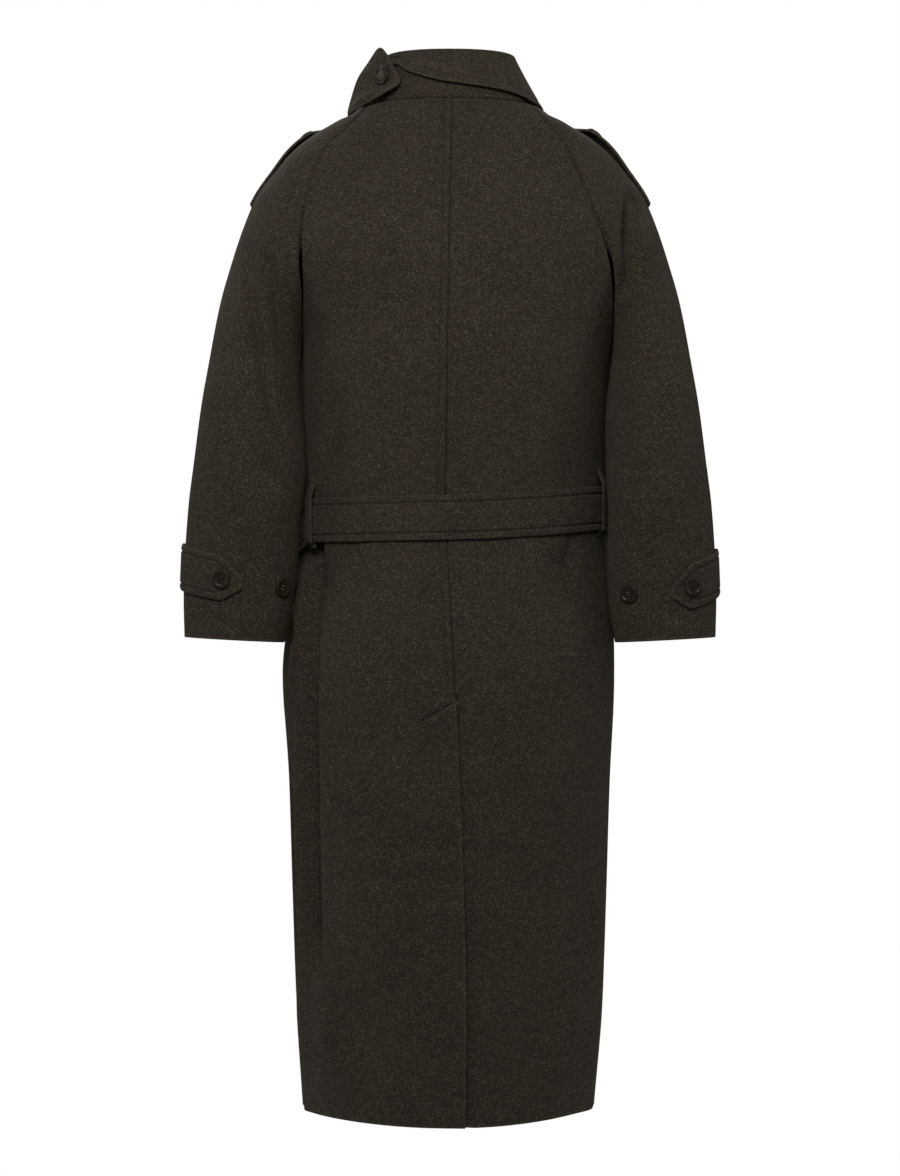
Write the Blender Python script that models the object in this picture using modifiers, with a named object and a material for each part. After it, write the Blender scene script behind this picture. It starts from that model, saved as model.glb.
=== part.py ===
# Belted raglan coat in heavy wool, filled out as if worn and seen here without a wearer.
# Metres, +Z up. The wearer faces -Y, so the centre back is on +Y and the wearer's left is on +X.
# The origin is the middle of the neck opening, level with the back neck seam.

import math

import bmesh
import bpy
import numpy as np
from mathutils import Matrix, Vector

# Driving dimensions
CLOTH = 0.0024            # thickness of the coat cloth
STRAP_CLOTH = 0.0032      # straps, tab and belt are two layers
SEAM_GAP = 0.0003         # space left between sewn pieces
LAP_GAP = 0.0012          # space between two panels that lap
LAID_GAP = 0.0012         # space under what lies on a panel
ROUNDNESS = 2.3           # power of the body's rounded cross-section
ANGLE_SIZE = (0.190, 0.145)   # half width and depth of the oval on which angles round the body are counted

NECK_HALF_WIDTH = 0.104
NECK_FRONT_DROP = 0.065
NECK_SHOULDER_TURN = 21.4     # degrees round the neck from the shoulder to a raglan seam
COLLAR_HEIGHT = 0.061
HEM_HEIGHT = -1.214
VENT_TOP = -0.716
VENT_UNDERLAP = 0.040
FRONT_EDGE_X = 0.060      # free edge of the right front, which laps over the left
FRONT_UNDERLAP_X = -0.035
LAP_RAMP = 0.013          # width over which the under layer sinks below the upper one

BELT_WIDTH = 0.050
BUTTON_RADIUS = 0.011
CUFF_STRAP_WIDTH = 0.052
EPAULETTE_WIDTH = 0.044

WOOL = (0.033, 0.028, 0.020)
HORN = (0.018, 0.015, 0.012)


def table(columns, *rows):
    """Rows of numbers as a dictionary of named columns."""
    return dict(zip(columns.split(), np.array(rows, float).T))


# Cross-sections of the body, from the neck to the hem. shift moves a section towards the wearer's left.
BODY = table(
    "height half_width back front shift",
    (0.000, 0.1040, 0.070, 0.068, 0.000),
    (-0.012, 0.1300, 0.076, 0.071, 0.000),
    (-0.030, 0.1650, 0.086, 0.075, 0.001),
    (-0.055, 0.1900, 0.098, 0.079, 0.004),
    (-0.085, 0.2080, 0.111, 0.089, 0.0055),
    (-0.120, 0.2220, 0.122, 0.104, 0.0035),
    (-0.160, 0.2300, 0.131, 0.120, -0.0015),
    (-0.200, 0.2240, 0.136, 0.132, -0.0070),
    (-0.240, 0.2035, 0.137, 0.140, -0.0098),
    (-0.285, 0.1885, 0.137, 0.144, -0.0092),
    (-0.340, 0.1855, 0.135, 0.144, -0.0052),
    (-0.400, 0.1842, 0.132, 0.139, -0.0042),
    (-0.455, 0.1830, 0.129, 0.131, -0.003),
    (-0.490, 0.1825, 0.128, 0.127, -0.003),
    (-0.530, 0.1825, 0.129, 0.127, -0.003),
    (-0.575, 0.1890, 0.136, 0.133, -0.002),
    (-0.630, 0.1990, 0.146, 0.141, 0.000),
    (-0.690, 0.2020, 0.151, 0.146, 0.002),
    (-0.820, 0.1955, 0.152, 0.148, 0.001),
    (-0.950, 0.1915, 0.151, 0.148, 0.001),
    (-1.090, 0.1865, 0.150, 0.147, 0.001),
    (HEM_HEIGHT, 0.1775, 0.148, 0.145, 0.002),
)

# Centre back seam: it wanders a little sideways as the cloth hangs.
CENTRE_BACK = table(
    "height x",
    (0.000, -0.003), (-0.200, 0.001), (-0.400, 0.004), (-0.500, 0.005), (-0.570, 0.001),
    (-0.650, -0.003), (-0.760, -0.008), (-0.950, -0.0155), (-1.080, -0.018), (HEM_HEIGHT, -0.0175),
)

# Raglan seam and, level with each of its points, the point of the overarm line.
RAGLAN = table(
    "height seam_x top_x top_height",
    (0.000, 0.0980, 0.1040, 0.0000),
    (-0.012, 0.1040, 0.1215, -0.0170),
    (-0.030, 0.1175, 0.1435, -0.0262),
    (-0.055, 0.1410, 0.1690, -0.0385),
    (-0.085, 0.1560, 0.1915, -0.0555),
    (-0.120, 0.1680, 0.2120, -0.0790),
    (-0.160, 0.1785, 0.2350, -0.1100),
    (-0.200, 0.1845, 0.2520, -0.1500),
    (-0.240, 0.1865, 0.2660, -0.1930),
    (-0.285, 0.1885, 0.2810, -0.2500),
)

# Rings of the sleeve below the armhole: the overarm point, the underarm point and the bulge each way.
RINGS = table(
    "top_x top_height under_left under_right under_height middle_y back_bulge front_bulge",
    (0.2900, -0.308, 0.1812, 0.1928, -0.330, 0.028, 0.076, 0.063),
    (0.2985, -0.365, 0.1765, 0.1872, -0.385, 0.046, 0.069, 0.063),
    (0.3060, -0.430, 0.1725, 0.1868, -0.445, 0.058, 0.060, 0.060),
    (0.3130, -0.490, 0.1790, 0.1895, -0.502, 0.063, 0.053, 0.055),
    (0.3170, -0.550, 0.1830, 0.1875, -0.560, 0.064, 0.049, 0.050),
    (0.3185, -0.600, 0.1890, 0.1900, -0.608, 0.064, 0.046, 0.046),
    (0.3175, -0.6435, 0.1975, 0.1970, -0.650, 0.064, 0.045, 0.044),
)
UNDERARM_BULGE = {"back": 0.083, "front": 0.062, "middle_y": 0.010}

# Long folds of the skirt and body. angle is counted in degrees from the centre back to the wearer's left;
# a fold reaches its depth between full_from and full_to and is gone at starts and ends.
FOLDS = table(
    "angle spread depth starts full_from full_to ends",
    (57.0, 6.5, -0.013, -0.536, -0.580, -0.960, -1.120),
    (68.0, 6.0, 0.004, -0.540, -0.600, -1.150, -1.300),
    (77.0, 4.5, -0.006, -0.540, -0.620, -1.150, -1.300),
    (-62.0, 9.0, 0.005, -0.850, -1.080, -1.214, -1.400),
    (-44.0, 8.0, -0.005, -0.534, -0.560, -0.590, -0.700),
    (118.0, 9.0, -0.008, -0.545, -0.640, -1.050, -1.300),
    (-112.0, 9.0, -0.008, -0.545, -0.640, -1.100, -1.300),
    (-138.0, 8.0, 0.005, -0.560, -0.700, -1.150, -1.400),
    (28.0, 9.0, 0.004, -0.250, -0.330, -0.430, -0.470),
    (-30.0, 9.0, 0.004, -0.250, -0.330, -0.430, -0.470),
    (101.0, 8.5, 0.012, -0.400, -0.460, -0.575, -0.660),
    (-101.0, 8.5, 0.012, -0.380, -0.450, -0.575, -0.660),
    (105.0, 8.5, 0.009, -0.295, -0.325, -0.400, -0.460),
    (-105.0, 8.5, 0.009, -0.295, -0.325, -0.400, -0.460),
)

# Middle of the belt by angle: it sags as it comes round the wearer's left side.
BELT_PATH = table(
    "angle height",
    (-180.0, -0.524), (-120.0, -0.506), (-75.0, -0.4905), (-30.0, -0.498), (0.0, -0.503),
    (40.0, -0.505), (62.0, -0.5055), (84.0, -0.5195), (120.0, -0.532), (180.0, -0.524),
)

# Free edge of the collar leaf by angle: folded down on the right, turned up on the left.
LEAF_EDGE = table(
    "angle height stand_off",
    (-172.0, -0.018, 0.007), (-140.0, -0.010, 0.007), (-90.0, -0.0045, 0.0058), (-68.0, 0.000, 0.0058),
    (-45.0, 0.0085, 0.0055), (0.0, 0.020, 0.0030), (30.0, 0.035, 0.0022), (48.0, 0.046, 0.0018),
    (100.0, 0.0465, 0.0012), (172.0, 0.032, 0.0012),
)

# Throat tab by its two edges, from its point at the top left of the collar down and round to its sewn end.
TAB = table(
    "front_x front_y front_z back_x back_y back_z bow",
    (0.0875, 0.025, 0.0660, 0.0825, 0.032, 0.0660, 0.000),
    (0.0980, 0.010, 0.0530, 0.0745, 0.043, 0.0530, 0.003),
    (0.1118, -0.004, 0.0350, 0.0680, 0.051, 0.0380, 0.005),
    (0.1183, -0.011, 0.0180, 0.0600, 0.060, 0.0200, 0.006),
    (0.1217, -0.017, 0.0010, 0.0770, 0.061, 0.0040, 0.006),
    (0.1195, -0.032, 0.0110, 0.1130, 0.018, -0.0040, 0.004),
    (0.1060, -0.050, 0.0260, 0.1180, -0.030, -0.0020, 0.003),
    (0.0711, -0.0569, 0.0211, 0.0821, -0.0616, -0.0060, 0.000),
)

# The hem rides up a little where the skirt turns from the back to the sides.
HEM_LIFT = table(
    "angle lift",
    (-180.0, 0.000), (-120.0, 0.003), (-90.0, 0.0025), (-58.0, 0.0055), (0.0, -0.001),
    (48.0, 0.003), (90.0, 0.001), (120.0, 0.002), (180.0, 0.000),
)

BODY_ROWS = [*RAGLAN["height"], -0.340, -0.400, -0.455, -0.490, -0.530, -0.546, -0.563, -0.600, -0.650,
             -0.690, VENT_TOP, VENT_TOP - 0.028, -0.820, -0.910, -1.000, -1.100, HEM_HEIGHT]
BODY_COLUMNS = 13
SIDE_CROWD = 0.35         # columns of a body panel crowd towards its side, where it curves most
SLEEVE_COLUMNS = 8
FINE = 160                # points of a section before it is divided evenly
LAST_RAGLAN = len(RAGLAN["height"]) - 1
LAST_RING = LAST_RAGLAN + len(RINGS["top_x"])


def smooth(xs, ys, x):
    """Monotone cubic through the points (xs, ys), for any order of xs and any shape of ys' rows."""
    order = np.argsort(xs)
    xs = np.asarray(xs, float)[order]
    ys = np.asarray(ys, float)[order]
    flat = ys.reshape(len(ys), -1)
    step = np.diff(xs)
    slope = np.diff(flat, axis=0) / step[:, None]
    tangent = np.zeros_like(flat)
    tangent[0] = slope[0]
    tangent[-1] = slope[-1]
    same_way = slope[:-1] * slope[1:] > 0
    w1 = (2 * step[1:] + step[:-1])[:, None]
    w2 = (step[1:] + 2 * step[:-1])[:, None]
    safe_before = np.where(same_way, slope[:-1], 1.0)
    safe_after = np.where(same_way, slope[1:], 1.0)
    tangent[1:-1] = np.where(same_way, (w1 + w2) / (w1 / safe_before + w2 / safe_after), 0.0)
    x = np.clip(np.asarray(x, float), xs[0], xs[-1])
    i = np.clip(np.searchsorted(xs, x, side="right") - 1, 0, len(step) - 1)
    h = step[i][..., None]
    t = ((x - xs[i]) / step[i])[..., None]
    value = (
        (2 * t**3 - 3 * t**2 + 1) * flat[i]
        + (t**3 - 2 * t**2 + t) * h * tangent[i]
        + (3 * t**2 - 2 * t**3) * flat[i + 1]
        + (t**3 - t**2) * h * tangent[i + 1]
    )
    return value.reshape(x.shape + ys.shape[1:])


def column(rows, name, at, key="height"):
    return smooth(rows[key], rows[name], at)


def ramp(x, low, high):
    """0 at low, 1 at high, with a soft start and end."""
    t = np.clip((np.asarray(x, float) - low) / (high - low), 0.0, 1.0)
    return t * t * (3 - 2 * t)


def unit(v):
    return v / np.maximum(np.linalg.norm(v, axis=-1, keepdims=True), 1e-12)


def body_sizes(height, face):
    """Half width, depth on that face (+1 back, -1 front) and sideways shift of the body."""
    depth = np.where(face > 0, column(BODY, "back", height), column(BODY, "front", height))
    return column(BODY, "half_width", height), depth, column(BODY, "shift", height)


def body_normal(point, face):
    """Outward normal of the body's plain form at points on it."""
    x, y, z = np.moveaxis(point, -1, 0)
    step = 0.002

    def level(height):
        width, depth, shift = body_sizes(height, face)
        return (np.abs(x - shift) / width) ** ROUNDNESS + (np.abs(y) / depth) ** ROUNDNESS

    width, depth, shift = body_sizes(z, face)
    power = ROUNDNESS - 1
    across = np.sign(x - shift) * (np.abs(x - shift) / width) ** power / width
    along = np.sign(y) * (np.abs(y) / depth) ** power / depth
    up = (level(z + step) - level(z - step)) / (2 * step * ROUNDNESS)
    return unit(np.stack([across, along, up], -1))


def body_angle(point):
    """Angle of a point round the body, in degrees from the centre back towards the wearer's left."""
    return np.degrees(np.arctan2(point[..., 0] / ANGLE_SIZE[0], point[..., 1] / ANGLE_SIZE[1]))


def fold_depth(point):
    """How far the long folds move a point of the body outwards."""
    angle = body_angle(point)
    height = point[..., 2]
    total = np.zeros_like(height)
    for n in range(len(FOLDS["angle"])):
        fold = {name: values[n] for name, values in FOLDS.items()}
        across = np.exp(-(((angle - fold["angle"]) / fold["spread"]) ** 2))
        along = ramp(-height, -fold["starts"], -fold["full_from"]) * (
            1 - ramp(-height, -fold["full_to"], -fold["ends"])
        )
        total += fold["depth"] * across * along
    return total


def body_point(x, height, face):
    """Outer surface and normal of the body at sideways place x, with the long folds."""
    width, depth, shift = body_sizes(height, face)
    share = np.clip(np.abs(x - shift) / width, 0.0, 1.0)
    y = face * depth * (1 - share**ROUNDNESS) ** (1 / ROUNDNESS)
    point = np.stack([x, y, height + 0 * x], -1)
    normal = body_normal(point, face)
    flat = unit(normal * (1, 1, 0))
    return point + flat * fold_depth(point)[..., None], normal


def body_ring_point(angle, height):
    """Outer surface and normal of the body at an angle in degrees from the centre back."""
    a = np.radians(angle)
    face = np.where(np.cos(a) >= 0, 1.0, -1.0)
    width, _, shift = body_sizes(height, face)
    x = shift + width * np.sign(np.sin(a)) * np.abs(np.sin(a)) ** (2 / ROUNDNESS)
    return body_point(x, height, face)


def evenly(line, count, start_gap=SEAM_GAP / 2, end_gap=SEAM_GAP / 2, crowd=0.0):
    """Places along a polyline, as fractional indices, that divide its length inside the gaps.

    The division is even, or crowded towards the end of the line.
    """
    length = np.concatenate([[0], np.cumsum(np.linalg.norm(np.diff(line, axis=0), axis=1))])
    share = np.linspace(0, 1, count)
    share = share + crowd * share * (1 - share)
    wanted = start_gap + (length[-1] - end_gap - start_gap) * share
    return np.interp(wanted, length, np.arange(len(line)))


def pick(values, places):
    whole = np.clip(np.floor(places).astype(int), 0, len(values) - 2)
    part = (places - whole)[:, None]
    return values[whole] * (1 - part) + values[whole + 1] * part


# Pieces of cloth

def add_material(name, colour, roughness):
    material = bpy.data.materials.new(name)
    material.use_nodes = True
    shader = material.node_tree.nodes["Principled BSDF"]
    shader.inputs["Base Color"].default_value = (*colour, 1.0)
    shader.inputs["Roughness"].default_value = roughness
    shader.inputs["Metallic"].default_value = 0.0
    return material


def add_object(name, mesh, material):
    piece = bpy.data.objects.new(name, mesh)
    PARTS.objects.link(piece)
    if not mesh.materials:
        mesh.materials.append(material)
    return piece


def add_wall(name, outer, inner, closed=False, material=None):
    """A wall of cloth between two matching grids of points: a loft of its rows, with its rim closed."""
    rows, columns = outer.shape[:2]
    work = bmesh.new()
    skins = [[[work.verts.new(p) for p in row] for row in grid] for grid in (outer, inner)]
    last = columns if closed else columns - 1
    for skin in skins:
        for r in range(rows - 1):
            for c in range(last):
                d = (c + 1) % columns
                work.faces.new((skin[r][c], skin[r][d], skin[r + 1][d], skin[r + 1][c]))
    rim = []
    for r in (0, rows - 1):
        rim += [((r, c), (r, (c + 1) % columns)) for c in range(last)]
    if not closed:
        for c in (0, columns - 1):
            rim += [((r, c), (r + 1, c)) for r in range(rows - 1)]
    for (r, c), (s, d) in rim:
        work.faces.new((skins[0][r][c], skins[0][s][d], skins[1][s][d], skins[1][r][c]))
    bmesh.ops.recalc_face_normals(work, faces=work.faces[:])
    mesh = bpy.data.meshes.new(name)
    work.to_mesh(mesh)
    work.free()
    mesh.shade_smooth()
    mesh.set_sharp_from_angle(angle=math.radians(40))
    return add_object(name, mesh, material or WOOL_CLOTH)


def body_row(x_start, x_end, heights, face, count, sink=None, marks=(), hold=1.0):
    """One section of a body panel from x_start to x_end, divided evenly. sink gives how far it lies inside.

    marks are columns kept at a place x, as (column, x); hold is how much they are kept there.
    """
    t = np.sin(np.linspace(0, math.pi / 2, FINE))
    x = x_start + (x_end - x_start) * t
    point, normal = body_point(x, heights(x), face)
    if sink is not None:
        point = point - normal * sink(x)[:, None]
    places = evenly(point, count, crowd=SIDE_CROWD)
    if marks:
        way = np.sign(x_end - x_start)
        fixed = [(0, places[0])]
        fixed += [(c, np.interp(way * at, way * x, np.arange(FINE))) for c, at in marks]
        held = []
        for (c, here), (d, there) in zip(fixed, [*fixed[1:], (count - 1, places[-1])]):
            first, last = int(np.floor(here)), int(np.ceil(there))
            crowd = SIDE_CROWD if d == count - 1 else 0.0
            stretch = pick(point, np.linspace(here, there, last - first + 8))
            within = evenly(stretch, d - c + 1, 0.0, 0.0, crowd)
            held += list(here + (there - here) * within[:-1] / (last - first + 7))
        places = (1 - hold) * places + hold * np.array([*held, places[-1]])
    return pick(point, places), unit(pick(normal, places))


def front_seam_height(k):
    return RAGLAN["height"][k] - 0.009 * max(0.0, 1 - k / 3)


def side_x(k, face, side):
    """Where a body row ends: on the raglan seam above the underarm, on the side seam below it."""
    height = BODY_ROWS[k]
    if k < LAST_RAGLAN:
        height = front_seam_height(k) if face < 0 else height
        return side * RAGLAN["seam_x"][k] + float(column(BODY, "shift", height))
    width, _, shift = body_sizes(height, face)
    return float(shift + side * width)


def add_body_panel(name, rows):
    outer = np.array([point for point, _ in rows])
    normal = np.array([n for _, n in rows])
    outer[-1, :, 2] += column(HEM_LIFT, "lift", body_angle(outer[-1]), "angle")
    normal[-1] = unit(normal[-1] * (1, 1, 0))
    return add_wall(name, outer, outer - normal * CLOTH)


def vent_sink(height):
    """The right back sinks under the left one along the vent."""
    edge = float(column(CENTRE_BACK, "x", height))
    share = float(ramp(-height, -VENT_TOP - 0.026, -VENT_TOP))
    return lambda x: share * (CLOTH + LAP_GAP) * ramp(x, edge - LAP_RAMP, edge - 0.002)


def add_backs():
    for side, name in ((1, "back_left"), (-1, "back_right")):
        rows = []
        for k, height in enumerate(BODY_ROWS):
            seam = float(column(CENTRE_BACK, "x", height))
            level = level_row(k)
            if side > 0:
                rows.append(body_row(seam, side_x(k, 1, side), level, 1, BODY_COLUMNS))
                continue
            start = seam + (VENT_UNDERLAP if height < VENT_TOP - 0.001 else 0.0)
            marks = ((2, seam - 0.002), (3, seam - LAP_RAMP))
            hold = float(ramp(-height, 0.60, -VENT_TOP))
            end = side_x(k, 1, side)
            rows.append(body_row(start, end, level, 1, BODY_COLUMNS + 2, vent_sink(height), marks, hold))
        add_body_panel(name, rows)


def level_row(k):
    return lambda x: BODY_ROWS[k] + 0 * x


def front_heights(k):
    """Height along a front row: the rows near the neck dip to the centre front."""
    if k >= LAST_RAGLAN:
        return level_row(k)
    seam = front_seam_height(k)
    middle = -NECK_FRONT_DROP + (RAGLAN["height"][-1] + NECK_FRONT_DROP) * k / LAST_RAGLAN
    reach = RAGLAN["seam_x"][k]
    return lambda x: seam + (middle - seam) * (1 - np.clip(np.abs(x) / reach, 0, 1) ** 2)


def front_sink(x):
    """The left front sinks under the right one."""
    return (CLOTH + LAP_GAP) * (1 - ramp(x, FRONT_EDGE_X + 0.002, FRONT_EDGE_X + LAP_RAMP))


def add_fronts():
    used_rows = [k for k in range(len(BODY_ROWS)) if BODY_ROWS[k] != VENT_TOP]
    under_marks = ((4, FRONT_EDGE_X + 0.002), (5, FRONT_EDGE_X + LAP_RAMP))
    for side, name, edge, sink, marks in (
        (1, "front_left", FRONT_UNDERLAP_X, front_sink, under_marks),
        (-1, "front_right", FRONT_EDGE_X, None, ()),
    ):
        rows = [
            body_row(edge, side_x(k, -1, side), front_heights(k), -1, BODY_COLUMNS + 2, sink, marks)
            for k in used_rows
        ]
        add_body_panel(name, rows)


# Sleeves

def neck_point(angle):
    """Neck seam at an angle in degrees from the centre back."""
    a = np.radians(np.asarray(angle, float))
    x = NECK_HALF_WIDTH * np.sign(np.sin(a)) * np.abs(np.sin(a)) ** (2 / ROUNDNESS)
    face = np.where(np.cos(a) >= 0, 1.0, -1.0)
    reach = RAGLAN["seam_x"][0]
    seam = front_seam_height(0)
    dip = seam + (-NECK_FRONT_DROP - seam) * (1 - np.clip(np.abs(x) / reach, 0, 1) ** 2)
    shoulder = seam * ramp(np.abs(x), NECK_HALF_WIDTH, reach)
    height = np.where(face > 0, 0.0, np.where(np.abs(x) < reach, dip, shoulder))
    return body_point(x, height, face)[0]


def sleeve_frame(side):
    """End points and end tangents of the sleeve's half sections at its stations."""
    frame = {}
    for face, name in ((1, "back"), (-1, "front")):
        seam, seam_tangent, top, top_tangent, seam_normal = [], [], [], [], []
        heights = [front_seam_height(k) if face < 0 else h for k, h in enumerate(RAGLAN["height"])]
        points, normals = body_point(
            np.array([side * x for x in RAGLAN["seam_x"]]) + column(BODY, "shift", np.array(heights)),
            np.array(heights), np.full(len(heights), float(face)),
        )
        run = np.gradient(points, axis=0)
        outwards = unit(np.cross(run, normals))
        outwards *= np.sign(outwards[:, :1]) * side
        for k in range(LAST_RAGLAN + 1):
            p = k / LAST_RAGLAN
            loose = float(ramp(p, 0.55, 1.0))
            middle_y = UNDERARM_BULGE["middle_y"] * p**2
            end = np.array([side * RAGLAN["top_x"][k], middle_y, RAGLAN["top_height"][k]])
            chord = np.linalg.norm(end - points[k])
            bulge = 4 * (UNDERARM_BULGE[name] - 0.5 * abs(points[k][1]))
            leave = unit((1 - loose) * outwards[k] + (0.12 + loose) * np.array([0.0, face, 0.0]))
            seam.append(points[k])
            seam_tangent.append(leave * ((1 - loose) * 1.15 * chord + loose * bulge))
            top.append(end)
            drop = (1 - loose) * 1.35 * abs(points[k][1] - end[1]) + loose * bulge
            top_tangent.append(np.array([0.0, -face * drop, 0.0]))
            seam_normal.append(normals[k])
        step = 0.5
        turns = np.array([0.0, step, NECK_SHOULDER_TURN - step, NECK_SHOULDER_TURN])
        neck = neck_point((90.0 - face * turns) * side)
        seam_tangent[0] = (neck[2] - neck[3]) / step * NECK_SHOULDER_TURN
        top_tangent[0] = (neck[0] - neck[1]) / step * NECK_SHOULDER_TURN
        for n in range(len(RINGS["top_x"])):
            ring = {key: values[n] for key, values in RINGS.items()}
            under = ring["under_left"] if side > 0 else ring["under_right"]
            bulge = 4 * ring[name + "_bulge"]
            seam.append(np.array([side * under, ring["middle_y"], ring["under_height"]]))
            top.append(np.array([side * ring["top_x"], ring["middle_y"], ring["top_height"]]))
            seam_tangent.append(np.array([0.0, face * bulge, 0.0]))
            top_tangent.append(np.array([0.0, -face * bulge, 0.0]))
            seam_normal.append(np.array([-side, 0.0, 0.0]))
        frame[name] = [np.array(v) for v in (seam, seam_tangent, top, top_tangent, seam_normal)]
    return frame


def sleeve_section(frame, name, station):
    """One half section of the sleeve at a station, from its seam to the overarm line."""
    stations = np.arange(LAST_RING + 1)
    a, m, b, n = (smooth(stations, v, station) for v in frame[name][:4])
    q = np.linspace(0, 1, FINE)[:, None]
    return (
        (2 * q**3 - 3 * q**2 + 1) * a + (q**3 - 2 * q**2 + q) * m
        + (3 * q**2 - 2 * q**3) * b + (q**3 - q**2) * n
    )


def sleeve_wrap(frame, station):
    """Whole section at a station, from the back seam over the arm to the front seam, and its normals."""
    step = 0.06
    low, high = max(0.0, station - step), min(float(LAST_RING), station + step)

    def wrap(at):
        back = sleeve_section(frame, "back", np.float64(at))
        front = sleeve_section(frame, "front", np.float64(at))
        return np.concatenate([back, front[::-1][1:]])

    line = wrap(station)
    normal = unit(np.cross(np.gradient(line, axis=0), wrap(high) - wrap(low)))
    outside = np.sign(line[FINE - 1, 0]) * normal[FINE - 1, 0]
    return line, normal * np.sign(outside)


def sleeve_half(frame, name, station, count):
    line, normal = sleeve_wrap(frame, station)
    half = slice(0, FINE) if name == "back" else slice(len(line) - 1, FINE - 2, -1)
    line, normal = line[half], normal[half].copy()
    if station <= LAST_RAGLAN:
        shared = 1 - float(ramp(station / LAST_RAGLAN, 0.35, 0.75))
        fade = np.clip(1 - np.arange(FINE) / (0.25 * FINE), 0, 1)[:, None] * shared
        stations = np.arange(LAST_RING + 1)
        normal = unit(normal * (1 - fade) + fade * smooth(stations, frame[name][4], np.float64(station)))
    places = evenly(line, count)
    return pick(line, places), unit(pick(normal, places))


def add_sleeves():
    stations = [*range(LAST_RING + 1)]
    for side, word in ((1, "left"), (-1, "right")):
        frame = SLEEVE_FRAMES[side]
        for name in ("back", "front"):
            rows = [sleeve_half(frame, name, float(k), SLEEVE_COLUMNS) for k in stations]
            outer = np.array([p for p, _ in rows])
            normal = np.array([n for _, n in rows])
            add_wall(f"sleeve_{name}_{word}", outer, outer - normal * CLOTH)


def on_sleeve(side, station, across):
    """Point and normal of the sleeve at a distance across from the overarm line, + towards the front."""
    line, normal = sleeve_wrap(SLEEVE_FRAMES[side], station)
    length = np.concatenate([[0], np.cumsum(np.linalg.norm(np.diff(line, axis=0), axis=1))])
    place = np.interp(length[FINE - 1] + across, length, np.arange(len(line)))
    places = np.atleast_1d(place)
    return pick(line, places)[0], unit(pick(normal, places))[0]


def strap_outline(width, point, share):
    """Half width of a strap at a share of its length measured back from its pointed end."""
    return width / 2 * min(1.0, 0.28 + 0.72 * share / point)


def add_strap(name, places, thickness=STRAP_CLOTH):
    """A strap from rows of (point, normal, lift), laid over what is under it."""
    outer = np.array([[p + n * (lift + thickness) for p, n, lift in row] for row in places])
    inner = np.array([[p + n * lift for p, n, lift in row] for row in places])
    return add_wall(name, outer, inner)


# The strap runs from the front of the sleeve round its outer edge to a point on the back, sloping down.
CUFF_STRAP = {"front_end": 0.060, "tip": {1: -0.096, -1: -0.080}, "rows": 15, "across": 4,
              "slope": {1: 0.16, -1: 0.27}, "height": {1: -0.5590, -1: -0.5655}, "point": 0.15}


def cuff_strap_place(side, along, offset):
    """A place on the cuff strap: along the sleeve's girth from the overarm line, offset up the sleeve."""
    height = CUFF_STRAP["height"][side] + CUFF_STRAP["slope"][side] * min(0.0, along) + offset
    tops = np.concatenate([RAGLAN["top_height"], RINGS["top_height"]])
    station = float(np.interp(-height, -tops, np.arange(len(tops))))
    point, normal = on_sleeve(side, station, along)
    return point, normal, LAID_GAP


def add_cuff_straps():
    size = CUFF_STRAP
    for side, word in ((1, "left"), (-1, "right")):
        rows = []
        tip = size["tip"][side]
        for along in np.linspace(size["front_end"], tip, size["rows"]):
            share = (along - tip) / (size["front_end"] - tip)
            half = strap_outline(CUFF_STRAP_WIDTH, size["point"], share)
            rows.append([cuff_strap_place(side, along, o) for o in np.linspace(half, -half, size["across"])])
        add_strap(f"cuff_strap_{word}", rows)


# The shoulder strap lies along the overarm line, a little in front of it, and bows up near its neck end.
EPAULETTE = {"outer_station": 6.25, "neck_station": 2.1, "middle": {1: 0.023, -1: 0.015}, "rows": 13,
             "across": 4, "point": 0.20, "bow": {1: 0.0045, -1: 0.0060}}


def epaulette_place(side, share, offset):
    """A place on the shoulder strap. share is 0 at its neck end and 1 at its sewn outer end."""
    station = EPAULETTE["neck_station"] + (EPAULETTE["outer_station"] - EPAULETTE["neck_station"]) * share
    point, normal = on_sleeve(side, station, EPAULETTE["middle"][side] + offset)
    bow = float(ramp(share, 0.0, 0.22) * (1 - ramp(share, 0.26, 0.95)))
    return point, normal, LAID_GAP + EPAULETTE["bow"][side] * bow


def add_epaulettes():
    size = EPAULETTE
    for side, word in ((1, "left"), (-1, "right")):
        rows = []
        for share in np.linspace(1, 0, size["rows"]):
            half = strap_outline(EPAULETTE_WIDTH, size["point"], share)
            rows.append([epaulette_place(side, share, o) for o in np.linspace(-half, half, size["across"])])
        add_strap(f"epaulette_{word}", rows)


# Collar

COLLAR_TOP = {"half_width": 0.0755, "back": 0.0585, "front": 0.064, "front_drop": 0.018, "forward": 0.004}
STAND_ANGLES = np.linspace(-178.5, 178.5, 45)
LEAF_ANGLES = np.linspace(-172, 172, 45)


def collar_point(angle, height):
    """Outer face of the standing collar at an angle and a height, and its level outward normal."""
    a = np.radians(angle)
    power = 2 / ROUNDNESS
    base = neck_point(angle)
    depth = np.where(np.cos(a) >= 0, COLLAR_TOP["back"], COLLAR_TOP["front"])
    top_x = COLLAR_TOP["half_width"] * np.sign(np.sin(a)) * np.abs(np.sin(a)) ** power
    top_y = depth * np.sign(np.cos(a)) * np.abs(np.cos(a)) ** power - COLLAR_TOP["forward"]
    top = np.stack([top_x, top_y, collar_top(angle)], -1)
    share = (height - base[..., 2]) / (top[..., 2] - base[..., 2])
    point = base + (top - base) * share[..., None]
    flat = unit(np.stack([np.sin(a) / NECK_HALF_WIDTH, np.cos(a) / depth, 0 * a], -1))
    return point, flat


def collar_top(angle):
    return COLLAR_HEIGHT - COLLAR_TOP["front_drop"] * ramp(np.abs(angle), 80, 180)


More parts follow.
